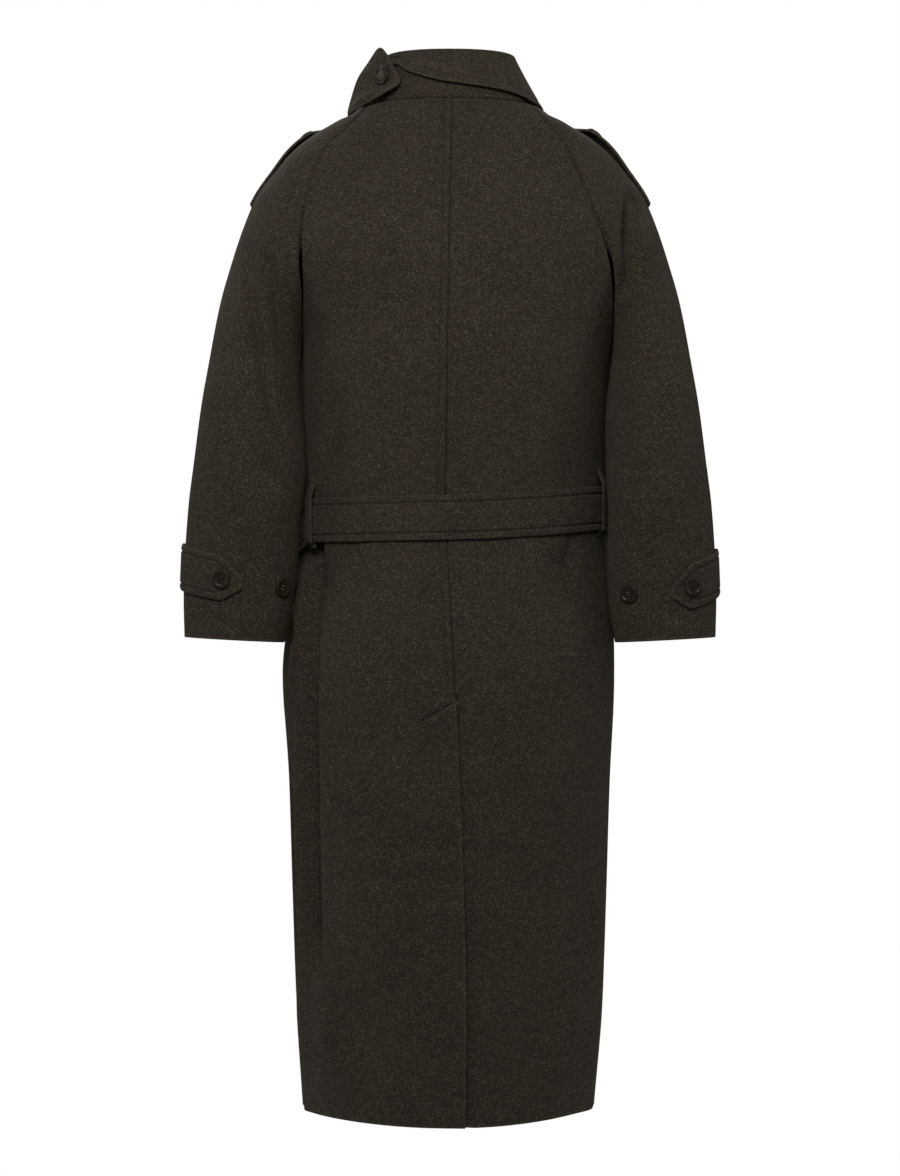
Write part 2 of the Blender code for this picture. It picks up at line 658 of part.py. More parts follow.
def add_collar_stand():
    base = neck_point(STAND_ANGLES)[:, 2] + 2.5 * SEAM_GAP
    top = collar_top(STAND_ANGLES) - 0.0006
    outer, inner = [], []
    for share in np.linspace(0, 1, 5):
        point, normal = collar_point(STAND_ANGLES, base + (top - base) * share)
        outer.append(point)
        inner.append(point - normal * CLOTH)
    add_wall("collar_stand", np.array(outer), np.array(inner))


def leaf_place(angle, share):
    """A place on the outer face of the collar leaf, from the fold (share 0) to its free edge (share 1)."""
    edge = column(LEAF_EDGE, "height", angle, "angle")
    off = column(LEAF_EDGE, "stand_off", angle, "angle")
    top = collar_top(angle)
    point, normal = collar_point(angle, top + (edge - top) * share)
    lift = LAID_GAP + (off - LAID_GAP) * share**1.6
    return point + normal * lift[..., None], normal


def add_collar_leaf():
    inner, outer = [], []
    for share in np.linspace(0, 1, 6):
        point, normal = leaf_place(LEAF_ANGLES, share + 0 * LEAF_ANGLES)
        inner.append(point)
        outer.append(point + normal * CLOTH)
    add_wall("collar_leaf", np.array(outer), np.array(inner))


TAB_ROWS = 19
TAB_ACROSS = 5


def tab_face(along, across):
    """Middle face of the throat tab. along runs from its point to its sewn end, across from front to back."""
    rows = np.arange(len(TAB["bow"]))
    place = along * rows[-1]
    front, back = (
        np.stack([smooth(rows, TAB[f"{edge}_{axis}"], place) for axis in "xyz"], -1)
        for edge in ("front", "back")
    )
    swell = 4 * across * (1 - across) * smooth(rows, TAB["bow"], place)
    outwards = unit(np.array([0.8, 0.6, 0.15]))
    return front + (back - front) * across[..., None] + outwards * swell[..., None]


def tab_normal(along, across):
    step = 0.02
    down = tab_face(np.clip(along + step, 0, 1), across) - tab_face(np.clip(along - step, 0, 1), across)
    over = tab_face(along, np.clip(across + step, 0, 1)) - tab_face(along, np.clip(across - step, 0, 1))
    return unit(np.cross(over, down)) * -1.0


def add_throat_tab():
    along, across = np.meshgrid(np.linspace(0, 1, TAB_ROWS), np.linspace(0, 1, TAB_ACROSS), indexing="ij")
    face, normal = tab_face(along, across), tab_normal(along, across)
    add_wall("throat_tab", face + normal * STRAP_CLOTH / 2, face - normal * STRAP_CLOTH / 2)


# Belt

LOOP_SEAT = LAID_GAP - SEAM_GAP   # the ends of a loop lie a seam's gap from the panel
BELT = {"columns": 60, "loop_width": 0.011, "loop_reach": {-1: 0.050, 1: 0.032},
        "loop_slack": {1: 0.0012, -1: 0.0012}, "loop_angle": {1: 63.0, -1: -72.0}}


def belt_place(angle, offset, lift):
    height = column(BELT_PATH, "height", angle, "angle") + offset
    point, normal = body_ring_point(angle, height)
    ease = 0.0022 * np.exp(-(((np.abs(angle) - 101) / 13) ** 2))    # it bridges the full cloth at the sides
    return point + unit(normal * (1, 1, 0)) * (LAID_GAP + ease + lift)[..., None]


def add_belt():
    angles = np.linspace(-180, 180, BELT["columns"], endpoint=False)
    offsets = np.linspace(BELT_WIDTH / 2, -BELT_WIDTH / 2, 3)
    outer = np.array([belt_place(angles, o, STRAP_CLOTH) for o in offsets])
    inner = np.array([belt_place(angles, o, 0.0) for o in offsets])
    add_wall("belt", outer, inner, closed=True)


def add_belt_loops():
    for side, word in ((1, "left"), (-1, "right")):
        middle = BELT["loop_angle"][side]
        turn = math.degrees(BELT["loop_width"] / 2 / 0.17)
        angles = np.linspace(middle - turn, middle + turn, 2)
        outer, inner = [], []
        for share in np.linspace(-1, 1, 11):
            reach = BELT["loop_reach"][1 if share > 0 else -1]
            over_belt = 1 - ramp(abs(share) * reach, 0.0255, reach - 0.0015)
            lift = over_belt * (STRAP_CLOTH + LAID_GAP + BELT["loop_slack"][side])
            lift -= (1 - over_belt) * LOOP_SEAT
            inner.append(belt_place(angles, -share * reach, lift))
            outer.append(belt_place(angles, -share * reach, lift + CLOTH))
        add_wall(f"belt_loop_{word}", np.array(outer), np.array(inner))


KNOT = {"half_width": 0.024, "half_height": 0.032, "depth": 0.020, "rings": 7, "sides": 16}
TAILS = {
    "left": {"x": 0.026, "length": 0.300, "drift": 0.012, "over": 0.0, "rise": 0.0012},
    "right": {"x": -0.026, "length": 0.345, "drift": -0.016, "over": 0.0055, "rise": 0.0038},
}


def belt_front():
    """How far forward the belt's outer face lies at the centre front."""
    edges = (-BELT_WIDTH / 2, 0.0, BELT_WIDTH / 2)
    return min(belt_place(np.float64(180.0), np.float64(o), STRAP_CLOTH)[1] for o in edges)


def add_belt_knot():
    """The knot is a soft lump of wrapped belt: rounded rings, flat at the back where it lies on the belt."""
    middle = float(column(BELT_PATH, "height", 180.0, "angle"))
    back = belt_front() - 2 * SEAM_GAP
    around = np.linspace(0, 2 * math.pi, KNOT["sides"], endpoint=False)
    rings = []
    for share in np.sin(np.linspace(0, math.pi / 2, KNOT["rings"])):
        swell = max(0.0, 1 - share**2.4) ** (1 / 2.4)
        size = 0.12 + 0.88 * swell
        x = KNOT["half_width"] * size * np.sign(np.cos(around)) * np.abs(np.cos(around)) ** 0.75
        z = KNOT["half_height"] * size * np.sign(np.sin(around)) * np.abs(np.sin(around)) ** 0.75
        y = np.full_like(x, back - KNOT["depth"] * share)
        rings.append(np.stack([x, y, middle + z], -1))
    work = bmesh.new()
    loops = [[work.verts.new(p) for p in ring] for ring in rings]
    for low, high in zip(loops, loops[1:]):
        for c in range(len(low)):
            d = (c + 1) % len(low)
            work.faces.new((low[c], low[d], high[d], high[c]))
    work.faces.new(loops[0])
    work.faces.new(loops[-1])
    bmesh.ops.recalc_face_normals(work, faces=work.faces[:])
    mesh = bpy.data.meshes.new("belt_knot")
    work.to_mesh(mesh)
    work.free()
    mesh.shade_smooth()
    mesh.set_sharp_from_angle(angle=math.radians(45))
    add_object("belt_knot", mesh, WOOL_CLOTH)


def add_belt_tails():
    """Two ends of the belt hang from under the knot over the right front."""
    start = float(column(BELT_PATH, "height", 180.0, "angle")) - KNOT["half_height"] - SEAM_GAP
    for word, tail in TAILS.items():
        rows = []
        for share in np.linspace(0, 1, 11):
            height = start + tail["rise"] - tail["length"] * share
            middle = tail["x"] * (0.25 + 0.75 * float(ramp(share, 0, 0.35))) + tail["drift"] * share
            reach = BELT_WIDTH / 2 * (0.42 + 0.58 * float(ramp(share, 0, 0.25)))
            x = np.linspace(middle - reach, middle + reach, 4)
            lift = 2 * SEAM_GAP + 0.0105 * (1 - float(ramp(share, 0, 0.5)))
            lift += tail["over"] * (1 - float(ramp(share, 0.45, 0.8)))
            point, normal = body_point(x, np.full_like(x, height), -1.0)
            flat = unit(normal * (1, 1, 0))
            rows.append([(p, n, lift) for p, n in zip(point, flat)])
        add_strap(f"belt_tail_{word}", rows)


# Buttons

def button_mesh():
    """A flat button with a raised rim and a dished middle: a turned profile."""
    r = BUTTON_RADIUS
    profile = [(0.0, 0.0026), (0.62 * r, 0.0026), (0.76 * r, 0.0036), (0.92 * r, 0.0036), (r, 0.0024),
               (0.93 * r, 0.0004), (0.80 * r, 0.0), (0.0, 0.0)]
    mesh = bpy.data.meshes.new("button")
    mesh.from_pydata([(x, 0.0, z) for x, z in profile], [(i, i + 1) for i in range(len(profile) - 1)], [])
    return mesh


def add_button(name, mesh, point, normal, up):
    piece = add_object(name, mesh, HORN_BUTTON)
    screw = piece.modifiers.new("turned", "SCREW")
    screw.axis = "Z"
    screw.steps = 20
    screw.render_steps = 20
    screw.use_merge_vertices = True
    screw.merge_threshold = 0.00005
    z = Vector(normal).normalized()
    x = Vector(up).cross(z).normalized()
    y = z.cross(x)
    piece.rotation_mode = "QUATERNION"
    piece.rotation_quaternion = Matrix((x, y, z)).transposed().to_quaternion()
    piece.location = Vector(point) + z * 0.0004
    return piece


SPARE_BUTTON = {
    1: {"height": -0.5765, "from_underarm": 0.034, "seat": 0.0008},
    -1: {"height": -0.5850, "from_underarm": 0.046, "seat": 0.0},
}


def add_buttons():
    mesh = button_mesh()
    up = (0, 0, 1)
    for side, word in ((1, "left"), (-1, "right")):
        point, normal, lift = cuff_strap_place(side, CUFF_STRAP["tip"][side] + 0.022, 0.0)
        add_button(f"strap_button_{word}", mesh, point + normal * (lift + STRAP_CLOTH), normal, up)

        spare = SPARE_BUTTON[side]
        tops = np.concatenate([RAGLAN["top_height"], RINGS["top_height"]])
        station = float(np.interp(-spare["height"], -tops, np.arange(len(tops))))
        half, normals = sleeve_half(SLEEVE_FRAMES[side], "back", station, 200)
        length = np.linalg.norm(np.diff(half, axis=0), axis=1).cumsum()
        n = int(np.searchsorted(length, spare["from_underarm"]))
        add_button(f"cuff_button_{word}", mesh, half[n] - normals[n] * spare["seat"], normals[n], up)

        point, normal, lift = epaulette_place(side, 0.24, 0.0)
        add_button(f"epaulette_button_{word}", mesh, point + normal * (lift + STRAP_CLOTH), normal, up)

    place = np.float64(0.345), np.float64(0.76)
    normal = tab_normal(*place)
    add_button("throat_button", mesh, tab_face(*place) + normal * STRAP_CLOTH / 2, normal, up)


def main():
    add_backs()
    add_fronts()
    add_sleeves()
    add_collar_stand()
    add_collar_leaf()
    add_throat_tab()
    add_epaulettes()
    add_cuff_straps()
    add_belt()
    add_belt_loops()
    add_belt_knot()
    add_belt_tails()
    add_buttons()


for old in list(bpy.data.objects):
    bpy.data.objects.remove(old)
PARTS = bpy.data.collections.new("belted_coat")
bpy.context.scene.collection.children.link(PARTS)
WOOL_CLOTH = add_material("wool_cloth", WOOL, 0.95)
HORN_BUTTON = add_material("horn_button", HORN, 0.35)
SLEEVE_FRAMES = {side: sleeve_frame(side) for side in (1, -1)}
main()
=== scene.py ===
import bpy
import numpy as np
from mathutils import Matrix


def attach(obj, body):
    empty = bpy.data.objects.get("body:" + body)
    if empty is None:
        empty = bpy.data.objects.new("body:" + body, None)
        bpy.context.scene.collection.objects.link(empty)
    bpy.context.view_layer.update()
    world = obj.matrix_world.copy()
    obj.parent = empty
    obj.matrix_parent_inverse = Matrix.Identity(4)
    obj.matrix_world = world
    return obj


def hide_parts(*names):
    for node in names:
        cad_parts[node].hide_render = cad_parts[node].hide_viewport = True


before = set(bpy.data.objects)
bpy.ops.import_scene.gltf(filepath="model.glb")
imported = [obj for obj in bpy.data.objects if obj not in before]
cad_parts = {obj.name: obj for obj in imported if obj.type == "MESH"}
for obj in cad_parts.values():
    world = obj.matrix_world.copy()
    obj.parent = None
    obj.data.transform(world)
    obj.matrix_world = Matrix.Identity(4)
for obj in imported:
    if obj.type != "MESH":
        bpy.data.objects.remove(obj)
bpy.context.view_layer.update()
print("frame loaded:", len(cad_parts), "nodes")

# Belted raglan coat in brushed wool, metres, +Z up. The wearer faces -Y, so the back is on +Y
# and the wearer's left is on +X. The forms below are those of the solids, worked out finer.

coat = {
    "cloth": 0.0024, "strapCloth": 0.0032, "seamGap": 0.0003, "lapGap": 0.0012, "laidGap": 0.0012,
    "roundness": 2.3, "angleWidth": 0.190, "angleDepth": 0.145,
    "neckHalfWidth": 0.104, "neckFrontDrop": 0.065, "shoulderTurn": 21.4, "collarHeight": 0.061,
    "hem": -1.214, "ventTop": -0.716, "ventUnderlap": 0.040,
    "frontEdge": 0.060, "frontUnderlap": -0.035, "lapRamp": 0.013,
}


def table(columns, *rows):      # rows of numbers as named columns
    return dict(zip(columns.split(), np.array(rows, float).T))


def rowsOf(columns):            # the rows again, each with its names
    return [dict(zip(columns, row)) for row in zip(*columns.values())]


hands = ((1, "left"), (-1, "right"))        # which way each side of the coat lies along X


# Sections of the body from the neck to the hem; shift moves a section to the wearer's left.
body = table(
    "height halfWidth back front shift",
    (0.000, 0.1040, 0.070, 0.068, 0.000),
    (-0.012, 0.1300, 0.076, 0.071, 0.000),
    (-0.030, 0.1650, 0.086, 0.075, 0.001),
    (-0.055, 0.1900, 0.098, 0.079, 0.004),
    (-0.085, 0.2080, 0.111, 0.089, 0.0055),
    (-0.120, 0.2220, 0.122, 0.104, 0.0035),
    (-0.160, 0.2300, 0.131, 0.120, -0.0015),
    (-0.200, 0.2240, 0.136, 0.132, -0.0070),
    (-0.240, 0.2035, 0.137, 0.140, -0.0098),
    (-0.285, 0.1885, 0.137, 0.144, -0.0092),
    (-0.340, 0.1855, 0.135, 0.144, -0.0052),
    (-0.400, 0.1842, 0.132, 0.139, -0.0042),
    (-0.455, 0.1830, 0.129, 0.131, -0.003),
    (-0.490, 0.1825, 0.128, 0.127, -0.003),
    (-0.530, 0.1825, 0.129, 0.127, -0.003),
    (-0.575, 0.1890, 0.136, 0.133, -0.002),
    (-0.630, 0.1990, 0.146, 0.141, 0.000),
    (-0.690, 0.2020, 0.151, 0.146, 0.002),
    (-0.820, 0.1955, 0.152, 0.148, 0.001),
    (-0.950, 0.1915, 0.151, 0.148, 0.001),
    (-1.090, 0.1865, 0.150, 0.147, 0.001),
    (coat["hem"], 0.1775, 0.148, 0.145, 0.002),
)

centreBack = table(
    "height x",
    (0.000, -0.003), (-0.200, 0.001), (-0.400, 0.004), (-0.500, 0.005), (-0.570, 0.001),
    (-0.650, -0.003), (-0.760, -0.008), (-0.950, -0.0155), (-1.080, -0.018), (coat["hem"], -0.0175),
)

# Long folds by their angle from the centre back to the wearer's left, in degrees.
folds = table(
    "angle spread depth starts fullFrom fullTo ends",
    (57.0, 6.5, -0.013, -0.536, -0.580, -0.960, -1.120),
    (68.0, 6.0, 0.004, -0.540, -0.600, -1.150, -1.300),
    (77.0, 4.5, -0.006, -0.540, -0.620, -1.150, -1.300),
    (-62.0, 9.0, 0.005, -0.850, -1.080, -1.214, -1.400),
    (-44.0, 8.0, -0.005, -0.534, -0.560, -0.590, -0.700),
    (118.0, 9.0, -0.008, -0.545, -0.640, -1.050, -1.300),
    (-112.0, 9.0, -0.008, -0.545, -0.640, -1.100, -1.300),
    (-138.0, 8.0, 0.005, -0.560, -0.700, -1.150, -1.400),
    (28.0, 9.0, 0.004, -0.250, -0.330, -0.430, -0.470),
    (-30.0, 9.0, 0.004, -0.250, -0.330, -0.430, -0.470),
    (101.0, 8.5, 0.012, -0.400, -0.460, -0.575, -0.660),
    (-101.0, 8.5, 0.012, -0.380, -0.450, -0.575, -0.660),
    (105.0, 8.5, 0.010, -0.270, -0.295, -0.400, -0.460),
    (-105.0, 8.5, 0.010, -0.270, -0.295, -0.400, -0.460),
)

# Soft creases, each a line from (x, z) to (xEnd, zEnd) as seen from straight behind or in front.
backCreases = table(
    "x z xEnd zEnd width depth bow",
    (-0.056, -0.080, -0.054, -0.300, 0.016, 0.0024, 0.004),     # ridge beside the centre back
    (-0.110, -0.180, -0.115, -0.310, 0.030, -0.0040, 0.000),
    (0.076, -0.180, 0.070, -0.310, 0.034, -0.0036, 0.000),
    (0.144, -0.150, 0.147, -0.270, 0.014, 0.0026, 0.000),
    (0.060, -0.095, 0.120, -0.140, 0.020, 0.0022, 0.006),       # fullness over the shoulder blades
    (-0.030, -0.100, -0.110, -0.150, 0.022, 0.0020, -0.006),
    (0.1395, -0.570, 0.1340, -0.960, 0.0110, -0.0024, 0.000),
    (-0.112, -0.350, -0.150, -0.470, 0.017, -0.0050, 0.006),    # drawn towards the right loop
    (0.129, -0.350, 0.139, -0.470, 0.012, -0.0040, -0.003),
    (0.152, -0.320, 0.154, -0.465, 0.008, 0.0024, 0.000),
    (0.050, -0.400, 0.044, -0.475, 0.012, 0.0022, 0.000),
    (-0.070, -0.410, -0.066, -0.475, 0.013, 0.0020, 0.000),
    (0.116, -0.528, 0.108, -0.640, 0.011, -0.0046, 0.003),      # pleats that the belt draws in
    (0.082, -0.528, 0.084, -0.610, 0.010, 0.0024, 0.000),
    (0.026, -0.528, 0.030, -0.615, 0.010, -0.0040, 0.002),
    (-0.047, -0.526, -0.053, -0.630, 0.012, -0.0040, -0.003),
    (-0.086, -0.526, -0.088, -0.600, 0.010, 0.0026, 0.000),
    (-0.147, -0.520, -0.139, -0.575, 0.009, -0.0050, 0.000),
    (-0.085, -0.620, -0.096, -0.760, 0.022, 0.0022, 0.000),
    (0.092, -0.680, 0.008, -0.682, 0.0055, -0.0012, 0.001),     # marks of an old fold across
    (0.120, -0.889, -0.100, -0.892, 0.0050, -0.0016, 0.002),
    (0.118, -0.905, 0.000, -0.907, 0.0070, 0.0008, 0.000),
    (0.115, -0.923, -0.040, -0.927, 0.0050, -0.0013, -0.002),
    (0.082, -1.044, 0.040, -1.046, 0.0050, -0.0009, 0.001),
    (0.159, -0.990, 0.158, -1.085, 0.010, 0.0030, 0.000),       # flare at the lower left
    (0.151, -1.090, 0.108, -1.190, 0.015, 0.0066, -0.006),
    (0.124, -1.060, 0.085, -1.180, 0.020, -0.0040, 0.000),
    (-0.155, -1.050, -0.112, -1.200, 0.016, 0.0070, 0.006),     # and at the lower right
    (-0.172, -0.925, -0.171, -1.060, 0.006, 0.0026, 0.000),
    (-0.120, -1.020, -0.080, -1.170, 0.022, -0.0030, 0.000),
    (0.030, -0.760, 0.036, -1.000, 0.030, 0.0020, 0.000),
    (-0.070, -0.780, -0.062, -0.960, 0.030, -0.0022, 0.000),
)
pressedFolds = table(           # folded edges down the left of the skirt, the second one behind the first
    "x z xEnd zEnd width run depth bow soft",
    (0.1530, -0.500, 0.1545, -1.060, 0.0030, 0.0150, -0.0190, -0.009, 0.10),
    (0.1890, -0.560, 0.1830, -1.080, 0.0026, 0.0060, -0.0090, -0.005, 0.16),
)
frontCreases = table(
    "x z xEnd zEnd width depth bow",
    (0.110, -0.170, 0.120, -0.300, 0.024, -0.0040, 0.004),
    (-0.105, -0.160, -0.118, -0.310, 0.026, -0.0036, -0.004),
    (-0.060, -0.330, -0.026, -0.480, 0.016, -0.0044, 0.006),
    (0.100, -0.360, 0.060, -0.480, 0.016, -0.0040, -0.006),
    (-0.110, -0.390, -0.100, -0.480, 0.012, 0.0026, 0.000),
    (0.120, -0.565, 0.114, -0.680, 0.012, -0.0046, 0.003),
    (-0.090, -0.560, -0.098, -0.690, 0.013, -0.0050, -0.004),
    (-0.130, -0.560, -0.128, -0.660, 0.011, 0.0030, 0.000),
    (-0.060, -0.900, -0.130, -0.903, 0.0050, -0.0013, 0.002),
    (0.150, -0.930, 0.080, -0.934, 0.0050, -0.0012, 0.001),
    (-0.110, -0.980, -0.085, -1.190, 0.018, 0.0036, 0.006),
    (0.120, -1.000, 0.105, -1.190, 0.016, 0.0034, -0.006),
)


def through(xs, ys, x):         # monotone cubic through the points (xs, ys)
    order = np.argsort(xs)
    xs = np.asarray(xs, float)[order]
    ys = np.asarray(ys, float)[order]
    flat = ys.reshape(len(ys), -1)
    step = np.diff(xs)
    slope = np.diff(flat, axis=0) / step[:, None]
    tangent = np.zeros_like(flat)
    tangent[0], tangent[-1] = slope[0], slope[-1]
    sameWay = slope[:-1] * slope[1:] > 0
    w1 = (2 * step[1:] + step[:-1])[:, None]
    w2 = (step[1:] + 2 * step[:-1])[:, None]
    before = np.where(sameWay, slope[:-1], 1.0)
    after = np.where(sameWay, slope[1:], 1.0)
    tangent[1:-1] = np.where(sameWay, (w1 + w2) / (w1 / before + w2 / after), 0.0)
    x = np.clip(np.asarray(x, float), xs[0], xs[-1])
    i = np.clip(np.searchsorted(xs, x, side="right") - 1, 0, len(step) - 1)
    h = step[i][..., None]
    t = ((x - xs[i]) / step[i])[..., None]
    value = ((2 * t**3 - 3 * t**2 + 1) * flat[i] + (t**3 - 2 * t**2 + t) * h * tangent[i]
             + (3 * t**2 - 2 * t**3) * flat[i + 1] + (t**3 - t**2) * h * tangent[i + 1])
    return value.reshape(x.shape + ys.shape[1:])


def column(rows, name, at, key="height"):
    return through(rows[key], rows[name], at)


def ramp(x, low, high):         # 0 at low, 1 at high, soft at both ends
    t = np.clip((np.asarray(x, float) - low) / (high - low), 0.0, 1.0)
    return t * t * (3 - 2 * t)


def unit(v):
    return v / np.maximum(np.linalg.norm(v, axis=-1, keepdims=True), 1e-12)


def bell(x, width):
    return np.exp(-((x / width) ** 2))


def bodySizes(height, face):    # half width, depth on that face (+1 back, -1 front), shift
    depth = np.where(face > 0, column(body, "back", height), column(body, "front", height))
    return column(body, "halfWidth", height), depth, column(body, "shift", height)


def bodyNormal(point, face):    # gradient of |x / width|^n + |y / depth|^n
    x, y, z = np.moveaxis(point, -1, 0)
    step, n = 0.002, coat["roundness"]

    def level(height):
        width, depth, shift = bodySizes(height, face)
        return (np.abs(x - shift) / width) ** n + (np.abs(y) / depth) ** n

    width, depth, shift = bodySizes(z, face)
    across = np.sign(x - shift) * (np.abs(x - shift) / width) ** (n - 1) / width
    outward = np.sign(y) * (np.abs(y) / depth) ** (n - 1) / depth
    up = (level(z + step) - level(z - step)) / (2 * step * n)
    return unit(np.stack([across, outward, up], -1))


def bodyAngle(point):           # degrees from the centre back to the wearer's left
    return np.degrees(np.arctan2(point[..., 0] / coat["angleWidth"], point[..., 1] / coat["angleDepth"]))


def foldDepth(point):           # each fold is a bell over the angle, faded in and out by height
    angle, drop = bodyAngle(point), -point[..., 2]
    total = np.zeros_like(drop)
    for fold in rowsOf(folds):
        fade = ramp(drop, -fold["starts"], -fold["fullFrom"])
        fade = fade * (1 - ramp(drop, -fold["fullTo"], -fold["ends"]))
        total += fold["depth"] * bell(angle - fold["angle"], fold["spread"]) * fade
    return total


def beside(x, z, start, end):   # share along the line from start to end, and the distance off it
    lineX, lineZ = np.subtract(end, start)
    length = np.hypot(lineX, lineZ)
    x, z = (x - start[0]) / length, (z - start[1]) / length
    return (x * lineX + z * lineZ) / length, x * lineZ - z * lineX


def creaseDepth(point, creases):
    # each crease is a bell across its bowed line, soft at its ends; a fold has a second width, run,
    # on its far side
    total = np.zeros(point.shape[:-1])
    for c in rowsOf(creases):
        share, off = beside(point[..., 0], point[..., 2], (c["x"], c["z"]), (c["xEnd"], c["zEnd"]))
        off = off - 4 * c["bow"] * share * (1 - share)
        width = np.where(off < 0, c.get("run", c["width"]), c["width"])
        soft = c.get("soft", 0.3)
        ends = ramp(share, -0.4 * soft, soft) * (1 - ramp(share, 1 - soft, 1 + 0.4 * soft))
        total += c["depth"] * bell(off, width) * ends
    return total


def bodyForm(x, height, face):  # plain oval section: y = depth (1 - |x / width|^n)^(1 / n)
    width, depth, shift = bodySizes(height, face)
    share = np.clip(np.abs(x - shift) / width, 0.0, 1.0)
    y = face * depth * (1 - share ** coat["roundness"]) ** (1 / coat["roundness"])
    point = np.stack([x, y, height + 0 * x], -1)
    return point, bodyNormal(point, face)


def bodyPoint(x, height, face, creased=False):      # the form with its folds, and its creases if asked
    point, normal = bodyForm(x, height, face)
    out = foldDepth(point)
    if creased:
        for creases in (backCreases, pressedFolds) if face > 0 else (frontCreases,):
            out = out + creaseDepth(point, creases)
    return point + unit(normal * (1, 1, 0)) * out[..., None], normal


def bodyRing(angle, height):    # the form with its folds at an angle from the centre back
    a = np.radians(angle)
    face = np.where(np.cos(a) >= 0, 1.0, -1.0)
    width, _, shift = bodySizes(height, face)
    x = shift + width * np.sign(np.sin(a)) * np.abs(np.sin(a)) ** (2 / coat["roundness"])
    return bodyPoint(x, height, face)


# Grids of points

def lengths(lines):             # distance along each row of a grid of polylines
    step = np.linalg.norm(np.diff(lines, axis=1), axis=2)
    return np.concatenate([np.zeros((len(lines), 1)), np.cumsum(step, axis=1)], axis=1)


def along(lines, distance):     # points at those distances along each row; rows are looked up end to end
    run = lengths(lines)
    rows, fine = run.shape
    offset = np.arange(rows)[:, None] * 10.0
    place = np.interp((distance + offset).ravel(), (run + offset).ravel(), np.tile(np.arange(fine), rows))
    whole = np.clip(np.floor(place).astype(int), 0, fine - 2)
    part = (place - whole)[:, None]
    row = np.repeat(np.arange(rows), distance.shape[1])
    points = lines[row, whole] * (1 - part) + lines[row, whole + 1] * part
    return points.reshape(rows, distance.shape[1], -1)


def spreadColumns(total, near, far, count):     # fixed distances from both edges, even between them
    near, far = np.array(near), np.array(far)
    fit = np.minimum(1.0, 0.42 * total / max(near[-1], far[-1]))[:, None]
    start = near * fit
    end = total[:, None] - far[::-1] * fit
    t = np.linspace(0, 1, count + 2)[1:-1]
    middle = start[:, -1:] + (end[:, :1] - start[:, -1:]) * t
    return np.concatenate([start, middle, end], axis=1)


def gridNormals(grid, outward):     # cross of the two directions of the grid, turned to the outward side
    normal = unit(np.cross(np.gradient(grid, axis=0), np.gradient(grid, axis=1)))
    return normal * np.sign(np.sum(normal * outward))


def softened(grid, share, reach=6):     # each row drawn to the mean of the rows within reach, by its share
    total = np.cumsum(np.pad(grid, ((reach + 1, reach), (0, 0), (0, 0)), "edge"), axis=0)
    mean = (total[2 * reach + 1:] - total[:-2 * reach - 1]) / (2 * reach + 1)
    return grid + (mean - grid) * share[..., None]


def seamSink(distance, width=0.0042, depth=0.0015):     # cloth rolls down into a seam
    return depth * np.clip(1 - distance / width, 0, 1) ** 2


tuck = {"clear": 6, "reach": 0.0022, "down": 0.0024}     # clear counts the columns of the rolled edge


def tucked(outer, inner, normal, edge, share=1.0):      # a sewn edge drawn on under its neighbour
    clear = tuck["clear"] if edge == 0 else -1 - tuck["clear"]
    down = -normal[:, clear]
    way = outer[:, edge] - outer[:, clear]
    way = unit(way - down * np.sum(way * down, axis=1, keepdims=True))
    place = outer[:, edge] + (way * tuck["reach"] + down * tuck["down"]) * share
    inner[:, edge] += (place + down * coat["cloth"] - inner[:, edge]) * share
    outer[:, edge] = place


stitchRow = {"inset": 0.009, "groove": 0.0020, "grooveWidth": 0.0013}
seamEdge = (0.00015, 0.0007, 0.0015, 0.0025, 0.0038, 0.0055, 0.0072, 0.0082, 0.009, 0.0098, 0.0108, 0.013)
plainEdge = (0.0, 0.0008, 0.002, 0.004, 0.007, 0.011)


def stitchGroove(fromEdge, inset=stitchRow["inset"]):
    return stitchRow["groove"] * bell(fromEdge - inset, stitchRow["grooveWidth"])


# Meshes

def newPiece(name, verts, faces, material, attributes=None):
    mesh = bpy.data.meshes.new(name)
    mesh.vertices.add(len(verts))
    mesh.vertices.foreach_set("co", np.asarray(verts, np.float32).ravel())
    mesh.loops.add(faces.size)
    mesh.loops.foreach_set("vertex_index", faces.astype(np.int32).ravel())
    mesh.polygons.add(len(faces))
    mesh.polygons.foreach_set("loop_start", np.arange(0, faces.size, faces.shape[1], dtype=np.int32))
    mesh.update(calc_edges=True)
    for label, values in (attributes or {}).items():
        mesh.attributes.new(label, "FLOAT", "POINT").data.foreach_set("value", np.asarray(values, np.float32))
    mesh.validate()
    mesh.shade_smooth()
    mesh.materials.append(material)
    piece = bpy.data.objects.new(name, mesh)
    bpy.context.scene.collection.objects.link(piece)
    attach(piece, "root")
    return piece


def quadsOf(index, wrap=False):     # quads of a grid of vertex numbers, row direction first
    if wrap:
        index = np.concatenate([index, index[:, :1]], axis=1)
    return np.stack([index[:-1, :-1], index[1:, :-1], index[1:, 1:], index[:-1, 1:]], -1).reshape(-1, 4)


def cappedRings(grid):          # rings of points as a closed skin, with a fan about a point at each end
    index = np.arange(grid.shape[0] * grid.shape[1]).reshape(grid.shape[:2])
    verts = np.concatenate([grid.reshape(-1, 3), grid[:1].mean(1), grid[-1:].mean(1)])
    faces = [quadsOf(index, True)]
    for ring, pole in ((index[0], index.size), (index[-1, ::-1], index.size + 1)):
        after = np.roll(ring, -2)[::2]
        faces.append(np.stack([ring[::2], ring[1::2], after, np.full(len(after), pole)], -1))
    return verts, np.concatenate(faces)


rim = {"bulge": 0.42, "lean": 0.34}         # how round a free edge is, in shares of the cloth


